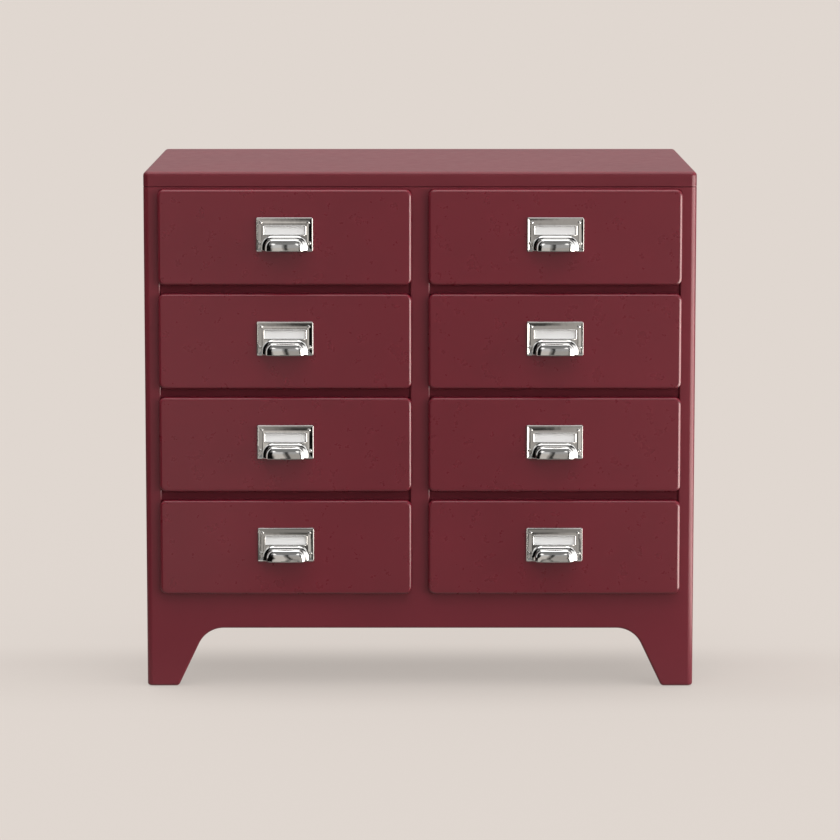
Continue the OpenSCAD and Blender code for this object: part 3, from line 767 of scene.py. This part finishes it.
def add_lip(bm, outer, inner):
    """A rolled edge along the cup's lower end, half way between its skins."""
    middle = [(a.co + b.co) / 2 for a, b in zip(outer, inner)]
    loops = []
    for i, point in enumerate(middle):
        along = middle[min(i + 1, len(middle) - 1)] - middle[max(i - 1, 0)]
        across = Vector((along.y, -along.x, 0)).normalized()
        loops.append([
            point + LIP_R * (across * math.cos(a) + Vector((0, 0, math.sin(a))))
            for a in arc(0, 315, 7)
        ])
    rings = add_loops(bm, loops)
    bm.faces.new(list(reversed(rings[0])))
    bm.faces.new(rings[-1])


def add_cup(bm, place):
    """The cup's outer and inner skins, joined along its lip and its root."""
    skins = [cup_skin(place, wall) for wall in (0, CUP_WALL)]
    outer = add_loops(bm, [list(reversed(loop)) for loop in skins[0]], closed=False)
    inner = add_loops(bm, skins[1], closed=False)
    bm.faces.new(list(reversed(outer[-1])))
    bm.faces.new(list(reversed(inner[-1])))
    for outer_low, outer_high, inner_low, inner_high in zip(outer, outer[1:], inner, inner[1:]):
        bm.faces.new((outer_low[0], inner_low[-1], inner_high[-1], outer_high[0]))
        bm.faces.new((outer_low[-1], outer_high[-1], inner_high[0], inner_low[0]))
    bm.faces.new((outer[-1][0], inner[-1][-1], inner[-1][0], outer[-1][-1]))
    for i in range(len(outer[0]) - 1):
        j = len(outer[0]) - 1 - i
        bm.faces.new((outer[0][i], outer[0][i + 1], inner[0][j - 1], inner[0][j]))
    add_lip(
        bm,
        [loop[-1] for loop in outer] + [loop[0] for loop in reversed(outer)],
        [loop[0] for loop in inner] + [loop[-1] for loop in reversed(inner)],
    )


def add_prism(bm, outline, place, low, high):
    """A closed prism over an outline that runs anticlockwise."""
    rings = add_loops(bm, [[place(u, v, out) for u, v in outline] for out in (low, high)])
    bm.faces.new(rings[-1])
    bm.faces.new(list(reversed(rings[0])))


def cup_pull():
    """The stamped plate: a rolled rim, a mitred field, a framed label window and the cup."""
    place = place_front(0.0)
    high_place = place_front(0.0, PLATE_H / 2)
    # The rim and the field inside it, as (inset at the sides, inset above and below, height).
    # The rim stands steeper at the sides.
    profile = [(0.0, 0.0, 0.0)]
    profile += [
        (RIM_W / 4 + inset / 2, inset, out) for inset, out in rolled(RIM_W / 2, RIM_H, 90, 7)
    ]
    ease = 0.05 * MM                 # keeps the rim's inner edge from being square
    profile.append((RIM_W, RIM_W, RIM_H - ease))
    field = PLATE_T - 0.1 * MM
    fall = RIM_H - 0.35 * MM - field
    for i in range(7):
        inset = RIM_W + ease + BEVEL_W * i / 6
        profile.append((inset, inset, field + fall * (1 - i / 6) ** 1.5))
    bm = bmesh.new()
    loops = [
        [high_place(u, v, out) for u, v in
         rounded_loop(PLATE_W - 2 * side_inset, PLATE_H - 2 * inset, max(PLATE_R - inset, 0), 4)]
        for side_inset, inset, out in profile
    ]
    rings = add_loops(bm, loops)
    bm.faces.new(rings[-1])
    bm.faces.new(list(reversed(rings[0])))
    plate = new_object("plate", mesh_from(bm, "plate"))

    # What is cut out of it: the cup's inside, the label's window and the screws' seats
    through = 5 * MM
    bm = bmesh.new()
    inside = cup_outline(0, CUP_WALL / 2)
    inside = [(inside[0][0], -through)] + inside[1:-1] + [(inside[-1][0], -through)]
    add_prism(bm, list(reversed(inside)), place, -through, through)
    window = rounded_loop(LABEL_W + 0.4 * MM, LABEL_H + 0.4 * MM, 0.6 * MM, 2)
    label_mid = LABEL_LOW + LABEL_H / 2
    add_prism(bm, [(u, v + label_mid) for u, v in window], place, -through, through)
    seat_r = SCREW_HEAD_R + 0.3 * MM
    for x, z in PULL_SCREWS:
        seat = rounded_loop(2 * seat_r, 2 * seat_r, seat_r, 6)
        add_prism(bm, [(x + u, z + v) for u, v in seat], place, PLATE_T - 0.15 * MM, through)
    bmesh.ops.remove_doubles(bm, verts=bm.verts, dist=1e-7)
    cutter = new_object("cutter", mesh_from(bm, "cutter"))
    cut = plate.modifiers.new("openings", "BOOLEAN")
    cut.operation = "DIFFERENCE"
    cut.solver = "EXACT"
    cut.object = cutter
    freeze(plate)

    # The rounded frame round the window, and the cup
    bm = bmesh.new()
    bm.from_mesh(plate.data)
    root = 0.6 * MM
    section = [(0.0, root)] + rolled(FRAME_W / 2, FRAME_H, 180, 10) + [(FRAME_W, root)]
    rings = add_loops(bm, [
        [place(u, v + label_mid, out) for u, v in rounded_loop(
            LABEL_W + 2 * FRAME_W - 2 * inset, LABEL_H + 2 * FRAME_W - 2 * inset,
            FRAME_CORNER_R - inset, 5,
        )]
        for inset, out in section
    ])
    count = len(rings[0])
    for i in range(count):
        j = (i + 1) % count
        bm.faces.new((rings[-1][i], rings[-1][j], rings[0][j], rings[0][i]))
    add_cup(bm, place)
    for spare in (plate, cutter):
        bpy.data.objects.remove(spare)
    return mesh_from(bm, "cup_pull", sharp=34)


def label_card():
    """A card behind the window, bowed out a little at its middle."""
    low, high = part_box("label_card_right_1")
    half = (high.x - low.x) / 2
    height = high.z - low.z
    bow = 0.18 * MM
    card_t = 0.25 * MM
    clear = 0.1 * MM                 # from the drawer's front
    across = [i / 6 - 1 for i in range(13)]
    bm = bmesh.new()
    add_loops(bm, [
        [Vector((half * s, -clear - bow * (1 - s * s), z)) for z in (height, 0)] for s in across
    ], closed=False)
    return mesh_from(bm, "label_card", card_t)


# ---- screws, set out by Geometry Nodes ----

def geometry_tree(name, inputs):
    """A new Geometry Nodes tree with a geometry input, the named inputs, and one output."""
    tree = bpy.data.node_groups.new(name, "GeometryNodeTree")
    tree.interface.new_socket("Places", in_out="INPUT", socket_type="NodeSocketGeometry")
    for label, kind in inputs.items():
        tree.interface.new_socket(label, in_out="INPUT", socket_type="NodeSocket" + kind)
    tree.interface.new_socket("Pieces", in_out="OUTPUT", socket_type="NodeSocketGeometry")
    return tree, add_node(tree, "NodeGroupInput").outputs


def end_tree(tree, instances, finish):
    """Makes the instances real, gives them their finish and puts them out."""
    real = add_node(tree, "GeometryNodeRealizeInstances", {"Geometry": instances})
    coated = add_node(tree, "GeometryNodeSetMaterial", {
        "Geometry": real.outputs[0], "Material": finish,
    })
    add_node(tree, "NodeGroupOutput", {"Pieces": coated.outputs[0]})


def maths(tree, operation, a, b=0.0):
    """Arithmetic on one or two numbers."""
    return add_node(tree, "ShaderNodeMath", {0: a, 1: b}, operation=operation).outputs[0]


def vector_of(tree, x, y, z):
    """A vector from its three parts."""
    return add_node(tree, "ShaderNodeCombineXYZ", {"X": x, "Y": y, "Z": z}).outputs[0]


def slotted_screw_tree():
    """Domed, slotted screw heads on the points given, each turned by chance."""
    tree, given = geometry_tree("slotted_screw_heads", {
        "Head radius": "Float", "Head height": "Float", "Slot width": "Float",
        "Slot depth": "Float", "Facing": "Float", "Seed": "Int", "Finish": "Material",
    })
    radius, height = given["Head radius"], given["Head height"]
    dome = add_node(tree, "GeometryNodeMeshUVSphere", {"Segments": 24, "Rings": 14, "Radius": 1.0})
    head = add_node(tree, "GeometryNodeTransform", {
        "Geometry": dome.outputs["Mesh"], "Scale": vector_of(tree, radius, radius, height),
    })
    cut = add_node(tree, "GeometryNodeMeshBoolean", {"Mesh 1": head.outputs[0]})

    def cut_away(width, length, depth, middle):
        """Takes a box out of the head, with its middle at the height given."""
        box = add_node(tree, "GeometryNodeMeshCube", {"Size": vector_of(tree, width, length, depth)})
        moved = add_node(tree, "GeometryNodeTransform", {
            "Geometry": box.outputs["Mesh"], "Translation": vector_of(tree, 0.0, 0.0, middle),
        })
        tree.links.new(moved.outputs[0], cut.inputs["Mesh 2"])

    wide = maths(tree, "MULTIPLY", radius, 4.0)
    cut_away(wide, wide, maths(tree, "MULTIPLY", height, 2.0), maths(tree, "MULTIPLY", height, -1.02))
    cut_away(given["Slot width"], wide, maths(tree, "MULTIPLY", given["Slot depth"], 2.0), height)

    def rotation(about_x, about_z):
        """A turn about two of the axes."""
        euler = vector_of(tree, about_x, 0.0, about_z)
        return add_node(tree, "FunctionNodeEulerToRotation", {"Euler": euler}).outputs[0]

    heads = add_node(tree, "GeometryNodeInstanceOnPoints", {
        "Points": given["Places"], "Instance": cut.outputs["Mesh"],
        "Rotation": rotation(given["Facing"], 0.0),
    })
    chance = add_node(tree, "FunctionNodeRandomValue", {"Seed": given["Seed"]}, data_type="FLOAT")
    chance.inputs[2].default_value = 0.0
    chance.inputs[3].default_value = math.pi
    turned = add_node(tree, "GeometryNodeRotateInstances", {
        "Instances": heads.outputs[0], "Rotation": rotation(0.0, chance.outputs[1]),
        "Local Space": True,
    })
    end_tree(tree, turned.outputs[0], given["Finish"])
    return tree


def set_out_tree():
    """Copies of one piece on the points given."""
    tree, given = geometry_tree("pieces_set_out", {"Piece": "Object", "Finish": "Material"})
    source = add_node(tree, "GeometryNodeObjectInfo", {"Object": given["Piece"]})
    copies = add_node(tree, "GeometryNodeInstanceOnPoints", {
        "Points": given["Places"], "Instance": source.outputs["Geometry"],
    })
    end_tree(tree, copies.outputs[0], given["Finish"])
    return tree


def run_tree(name, tree, places, values):
    """Runs a tree on points at the places given and returns the plain mesh."""
    mesh = bpy.data.meshes.new(name)
    mesh.from_pydata([tuple(p) for p in places], [], [])
    holder = new_object(name, mesh)
    sockets = {s.name: s.identifier for s in tree.interface.items_tree if s.in_out == "INPUT"}
    modifier = holder.modifiers.new("set out", "NODES")
    modifier.node_group = tree
    for label, value in values.items():
        modifier[sockets[label]] = value
    made = freeze(holder).data
    bpy.data.objects.remove(holder)
    shade(made)
    return made


SCREWS = slotted_screw_tree()
SET_OUT = set_out_tree()


def set_out(name, mesh, places, material):
    """A mesh repeated on the places given."""
    pattern = new_object(name + ".pattern", mesh)
    made = run_tree(name, SET_OUT, places, {"Piece": pattern, "Finish": material})
    bpy.data.objects.remove(pattern)
    return made


def screw_heads(name, places, head_r, head_h, slot_w, slot_d, facing, seed, finish):
    """Screw heads on the places given, facing the front (90) or the back (-90)."""
    return run_tree(name, SCREWS, places, {
        "Head radius": head_r, "Head height": head_h, "Slot width": slot_w, "Slot depth": slot_d,
        "Facing": math.radians(facing), "Seed": seed, "Finish": finish,
    })


def back_screw_heads():
    """The slotted screws that hold the back panel, in three upright rows."""
    low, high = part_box("back_screws")
    head_r = 3.4 * MM
    flange_x = 6 * MM                # the middle row, in the partition's flange
    places = [
        (x, BACK_Y, low.z + head_r + (high.z - low.z - 2 * head_r) * i / 3)
        for x in (low.x + head_r, flange_x, high.x - head_r) for i in range(4)
    ]
    return screw_heads(
        "back_screws", places, head_r, high.y - BACK_Y, 0.9 * MM, 0.8 * MM, -90, 5, SCREW_ZINC
    )


# ---- rails and feet ----

def drawer_rails():
    """Channels across the columns between the drawers, set back from the front."""
    low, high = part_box("drawer_rails")
    height = FACE_LOW.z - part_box("drawer_front_right_2")[1].z + 2 * LAP
    depth = high.y - low.y
    half_t = SHEET / 2
    section = [(depth, half_t), (half_t, half_t), (half_t, height - half_t), (depth, height - half_t)]
    bm = bmesh.new()
    add_folded(
        bm, section, RAIL_BEND_R, lambda y, z, x: Vector((x, y, z)), -WINDOW_W / 2, WINDOW_W / 2
    )
    channel = mesh_from(bm, "rail", SHEET, offset=0)
    places = [
        (side * COLUMN_X, low.y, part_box(f"drawer_front_right_{row}")[0].z + LAP - height)
        for side in (-1, 1) for row in (1, 2, 3)
    ]
    return set_out("drawer_rails", channel, places, RAIL_ENAMEL_SHADED)


def foot_glides():
    """Four turned glides under the foot plates."""
    low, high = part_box("foot_glides")
    radius = 11 * MM
    edge = 1.5 * MM
    seat = 6 * MM
    stem_r = 4 * MM
    profile = [(0.0, 0.0), (radius - edge, 0.0)]
    profile += [
        (radius - edge + edge * math.sin(a), edge - edge * math.cos(a)) for a in arc(20, 90, 5)
    ]
    profile += [
        (radius, seat - 2.4 * MM), (radius - 0.4 * MM, seat - 1.9 * MM),
        (radius - 1.2 * MM, seat - 1.7 * MM), (radius - 1.5 * MM, seat - 0.3 * MM),
        (radius - 1.8 * MM, seat), (stem_r, seat), (stem_r, high.z - 0.4 * MM),
        (stem_r - 0.4 * MM, high.z), (0.0, high.z),
    ]
    bm = bmesh.new()
    turns = arc(0, 360, 32)[:-1]
    add_loops(bm, [[(r * math.cos(a), r * math.sin(a), z) for a in turns] for r, z in profile])
    bmesh.ops.remove_doubles(bm, verts=bm.verts, dist=1e-6)
    bmesh.ops.recalc_face_normals(bm, faces=bm.faces)
    glide = mesh_from(bm, "glide", sharp=40)
    places = [
        (x, y, 0.0)
        for x in (low.x + radius, high.x - radius)
        for y in (low.y + radius, high.y - radius)
    ]
    return set_out("foot_glides", glide, places, GLIDE_BLACK)


# ---- putting the cabinet together ----

# (piece, mesh, finish, slot, the node that it stands for)
CABINET_PIECES = [
    ("front_frame_pressed", front_frame(), SHEET_ENAMEL, "painted_sheet", "front_frame"),
    ("side_panel_pressed_left", side_panel("left"), SHEET_ENAMEL, "painted_sheet", "side_panel_left"),
    ("side_panel_pressed_right", side_panel("right"), SHEET_ENAMEL, "painted_sheet", "side_panel_right"),
    ("top_cover_pressed", top_cover(), COVER_ENAMEL_SHADED, "painted_sheet", "top_cover"),
    ("back_panel_pressed", back_panel(), SHEET_ENAMEL, "painted_sheet", "back_panel"),
    ("drawer_rails_folded", drawer_rails(), RAIL_ENAMEL_SHADED, "painted_sheet", "drawer_rails"),
    ("foot_glides_turned", foot_glides(), GLIDE_BLACK, "black_glides", "foot_glides"),
    ("back_screws_slotted", back_screw_heads(), SCREW_ZINC, "zinc_screws", "back_screws"),
]
for name, mesh, finish, slot, node in CABINET_PIECES:
    add_piece(name, mesh, finish, slot, "cabinet", node)

face_mesh = drawer_front()
box_mesh = drawer_box()
pull_mesh = cup_pull()
card_mesh = label_card()
for number, (side, row) in enumerate(DRAWERS):
    at = f"{side}_{row}"
    face_low, face_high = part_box(f"drawer_front_{at}")
    foot = Vector(((face_low.x + face_high.x) / 2, 0, face_low.z))
    pull_foot = Vector((foot.x, FACE_Y, foot.z + PULL_LOW))
    card_foot = Vector((foot.x, FACE_Y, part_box(f"label_card_{at}")[0].z))
    seats = [(pull_foot.x + x, FACE_Y - PLATE_T + 0.1 * MM, pull_foot.z + z) for x, z in PULL_SCREWS]
    heads = screw_heads(
        "pull_screws", seats, SCREW_HEAD_R, SCREW_HEAD_H, SLOT_W, SLOT_D, 90, number, SCREW_CHROME
    )
    drawer_pieces = [
        ("drawer_face", face_mesh, FRONT_ENAMEL, "painted_fronts", "drawer_front", foot),
        ("drawer_tray", box_mesh, TRAY_ENAMEL, "painted_drawers", "drawer_box", foot),
        ("label_pull", pull_mesh, PULL_CHROME, "chrome_pulls", "cup_pull", pull_foot),
        ("card", card_mesh, LABEL_CARD, "label_card", "label_card", card_foot),
        ("pull_screw_heads", heads, SCREW_CHROME, "pull_screws", "pull_screws", None),
    ]
    for name, mesh, finish, slot, node, offset in drawer_pieces:
        add_piece(
            f"{name}_{at}", mesh, finish, slot, f"drawer_{at}", f"{node}_{at}", offset=offset
        )

# Pieces that keep the part's own mesh get only a finish
FINISH_OF_NODE = dict.fromkeys(("bottom_panel", "centre_partition", "foot_plates"), SHEET_ENAMEL)
for place in ("outer_left", "inner_left", "inner_right", "outer_right"):
    FINISH_OF_NODE[f"runners_{place}"] = RUNNER_ZINC
for node, material in FINISH_OF_NODE.items():
    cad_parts[node].data.materials.clear()
    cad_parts[node].data.materials.append(material)


# ---- floor, light and camera ----

PALE = (0.745, 0.680, 0.631)
FLOOR_TONE = [c * 0.44 for c in PALE]


def step(tree, value, low, high, low_light, high_light):
    """A smooth change of the light between two values."""
    return ranged(tree, value, low, high, low_light, high_light, "SMOOTHSTEP")


def blend(tree, share, low, high):
    """The number between low and high at the share given."""
    return add_node(tree, "ShaderNodeMix", {
        "Factor": share, 2: low, 3: high,
    }, data_type="FLOAT").outputs[0]


def bands(tree, value, stops):
    """Light that changes along a value from -1 to 1, given as (place, light) stops."""
    share = ranged(tree, value, -1.0, 1.0, 0.0, 1.0)
    ramp = add_node(tree, "ShaderNodeValToRGB", {"Fac": share})
    marks = ramp.color_ramp.elements
    while len(marks) < len(stops):
        marks.new(1.0)
    for mark, (place, light) in zip(marks, stops):
        mark.position = (place + 1) / 2
        mark.color = (light, light, light, 1)
    return ramp.outputs["Color"]


def room_light(tree, direction):
    """How bright the room is in a direction: bright boxes right and above, dark far to the left.

    The parts of the direction run from -1 to 1: x to the right, y to the back and z up.
    """
    axes = add_node(tree, "ShaderNodeSeparateXYZ", {0: direction}).outputs
    x, y, z = axes["X"], axes["Y"], axes["Z"]
    aside = maths(tree, "ABSOLUTE", x)
    level = bands(tree, x, [
        (-0.36, 0.004), (-0.31, 0.75), (-0.11, 0.75), (-0.07, 0.32), (-0.05, 0.32), (-0.025, 0.05),
        (0.025, 0.05), (0.05, 0.48), (0.35, 0.48), (0.39, 0.06),
    ])
    rising = bands(tree, z, [(0.50, 0.28), (0.54, 0.04), (0.72, 0.04), (0.78, 1.8)])
    upper = blend(tree, step(tree, aside, 0.42, 0.50, 0.0, 1.0), rising, 0.004)
    front = blend(tree, step(tree, z, 0.09, 0.13, 0.0, 1.0), level, upper)
    wide_box = maths(
        tree, "MULTIPLY", step(tree, x, 0.44, 0.50, 0.0, 1.6), step(tree, z, 0.20, 0.50, 1.0, 0.0),
    )
    low_box = maths(
        tree, "MULTIPLY", step(tree, x, 0.44, 0.52, 0.0, 7.9), step(tree, z, 0.02, 0.10, 1.0, 0.0),
    )
    right_box = maths(tree, "ADD", wide_box, low_box)
    from_lamp = add_node(tree, "ShaderNodeVectorMath", {
        0: vector_of(tree, aside, 0.0, z), 1: (0.30, 0.0, 0.16),
    }, operation="DISTANCE").outputs["Value"]
    lamps = step(tree, from_lamp, 0.05, 0.09, 1.6, 0.0)
    front = maths(tree, "ADD", maths(tree, "ADD", front, right_box), lamps)
    backdrop = maths(
        tree, "ADD", step(tree, x, -0.5, -0.15, 0.0, 0.35), step(tree, z, 0.30, 0.8, 0.0, 1.1),
    )
    behind = step(tree, y, -0.05, 0.25, 0.0, 1.0)
    rim = maths(
        tree, "MULTIPLY", bands(tree, y, [(-0.24, 0.0), (-0.20, 1.5), (-0.06, 1.5), (-0.02, 0.0)]),
        step(tree, x, -0.6, -0.2, 0.5, 1.0),
    )
    return maths(tree, "ADD", blend(tree, behind, front, backdrop), rim)


def backdrop_floor():
    """A plain pale floor, which keeps the cabinet's shadow and glows a little to the eye.

    Its glow is painted light, stronger behind the cabinet and far in front of it, so that the
    shadow fades there and stays as a band under the cabinet's front. To bounced light the floor
    is darker, which keeps painted shade on the cabinet's undersides. Metal and enamel see a
    painted reflection in it: a glow that carries the room's light on towards the cabinet, the
    same for each column of drawers.
    """
    material = new_material("pale_floor")
    tree = material.node_tree
    seen = add_node(tree, "ShaderNodeLightPath").outputs
    spot = add_node(tree, "ShaderNodeNewGeometry").outputs["Position"]
    axes = add_node(tree, "ShaderNodeSeparateXYZ", {0: spot}).outputs
    depth = axes["Y"]
    aside = maths(tree, "ABSOLUTE", axes["X"])
    # Painted reflection: what metal and enamel see in the floor is a glow that carries the room's light
    # on from each column of drawers.
    close = step(tree, depth, -1.9, -0.9, 0.0, 1.0)
    from_column = maths(
        tree, "MULTIPLY", maths(tree, "SIGN", axes["X"]),
        maths(tree, "SUBTRACT", aside, maths(tree, "MULTIPLY", close, COLUMN_X)),
    )
    outward = add_node(tree, "ShaderNodeVectorMath", {
        0: vector_of(tree, from_column, depth, 0.0),
    }, operation="NORMALIZE").outputs[0]
    between = maths(tree, "MULTIPLY", close, step(tree, aside, 0.10, 0.13, 1.0, 0.0))
    far = blend(tree, between, room_light(tree, outward), 0.5)
    beyond = maths(
        tree, "MAXIMUM", step(tree, depth, -0.75, -0.50, 1.0, 0.0), step(tree, aside, 0.5, 0.9, 0.0, 1.0),
    )
    near = step(tree, depth, -0.42, -0.27, 0.30, 0.60)
    mirrored = blend(tree, beyond, near, far)
    # Painted light: to the eye the floor glows more behind the cabinet and far in front of it, which
    # fades the shadow there and leaves a band of it under the cabinet's front.
    glow_share = maths(
        tree, "ADD", step(tree, depth, -0.34, -0.17, 0.28, 0.0),
        step(tree, depth, -0.06, 0.09, 0.61, 0.92),
    )
    # To bounced light the floor is darker: painted shade on the cabinet's undersides.
    tone_darker_to_bounces = mix_colour(tree, seen["Is Diffuse Ray"], FLOOR_TONE, [c * 0.25 for c in PALE])
    lit = add_node(tree, "ShaderNodeBsdfDiffuse", {"Color": tone_darker_to_bounces})
    glow = add_node(tree, "ShaderNodeEmission", {"Color": (*PALE, 1), "Strength": 1.0})
    shown = add_node(tree, "ShaderNodeMixShader", {
        0: maths(tree, "MULTIPLY", seen["Is Camera Ray"], glow_share),
        1: lit.outputs[0], 2: glow.outputs[0],
    })
    # The floor glows only to reflections: a painted reflection, not a lamp.
    painted_reflection_glow = add_node(tree, "ShaderNodeEmission", {"Color": (1, 0.93, 0.86, 1), "Strength": mirrored})
    mixed = add_node(tree, "ShaderNodeMixShader", {
        0: seen["Is Glossy Ray"], 1: shown.outputs[0], 2: painted_reflection_glow.outputs[0],
    })
    add_node(tree, "ShaderNodeOutputMaterial", {"Surface": mixed.outputs[0]})
    mesh = bpy.data.meshes.new("floor")
    reach = 150.0
    corners = [(-reach, -reach, 0), (reach, -reach, 0), (reach, reach, 0), (-reach, reach, 0)]
    mesh.from_pydata(corners, [], [(0, 1, 2, 3)])
    floor = new_object("floor", mesh, material)


def studio_world():
    """A pale backdrop to the eye, and a room lit from the right and above to the cabinet."""
    world = bpy.data.worlds.new("studio")
    world.use_nodes = True
    bpy.context.scene.world = world
    tree = world.node_tree
    tree.nodes.clear()
    direction = add_node(tree, "ShaderNodeTexCoord").outputs["Generated"]
    room = add_node(tree, "ShaderNodeBackground", {
        "Color": (1.0, 0.985, 0.97, 1), "Strength": room_light(tree, direction),
    })
    plain = add_node(tree, "ShaderNodeBackground", {"Color": (*PALE, 1), "Strength": 1.0})
    seen = add_node(tree, "ShaderNodeLightPath").outputs["Is Camera Ray"]
    mixed = add_node(tree, "ShaderNodeMixShader", {
        0: seen, 1: room.outputs[0], 2: plain.outputs[0],
    })
    add_node(tree, "ShaderNodeOutputWorld", {"Surface": mixed.outputs[0]})


def add_sun(name, azimuth, elevation, strength, width):
    """A broad soft light, all angles in degrees, with the azimuth from the front to the right.

    The room's own bright parts stand for it in the chrome and the enamel.
    """
    a, e = math.radians(azimuth), math.radians(elevation)
    towards = Vector((math.sin(a) * math.cos(e), -math.cos(a) * math.cos(e), math.sin(e)))
    lamp = bpy.data.lights.new(name, "SUN")
    lamp.energy = strength
    lamp.angle = math.radians(width)
    sun = new_object(name, lamp)
    sun.rotation_mode = "QUATERNION"
    sun.rotation_quaternion = towards.to_track_quat("Z", "Y")
    sun.visible_glossy = False


def camera():
    """A long lens, a little above the cabinet and tilted down to it."""
    distance = 4.3629
    height = 0.9517
    tilt = 7.194
    data = bpy.data.cameras.new("camera")
    data.sensor_width = 36.0
    data.lens = 159.825
    data.shift_y = -0.08
    data.clip_end = 400.0
    seat = new_object("camera", data)
    seat.location = (0.0, FRONT_Y - distance, height)
    seat.rotation_euler = (math.radians(90 - tilt), 0.0, 0.0)
    bpy.context.scene.camera = seat


backdrop_floor()
studio_world()
# name, azimuth, elevation, strength and width
for softbox in [
    ("front_softbox", 16, 4, 1.25, 80), ("overhead_softbox", 20, 80, 2.3, 80),
    ("key_softbox", 58, 20, 0.6, 36), ("side_softbox", 90, 8, 2.6, 30),
    ("back_softbox", 215, 35, 1.6, 80),
]:
    add_sun(*softbox)
camera()
bpy.context.scene.view_settings.view_transform = "Standard"
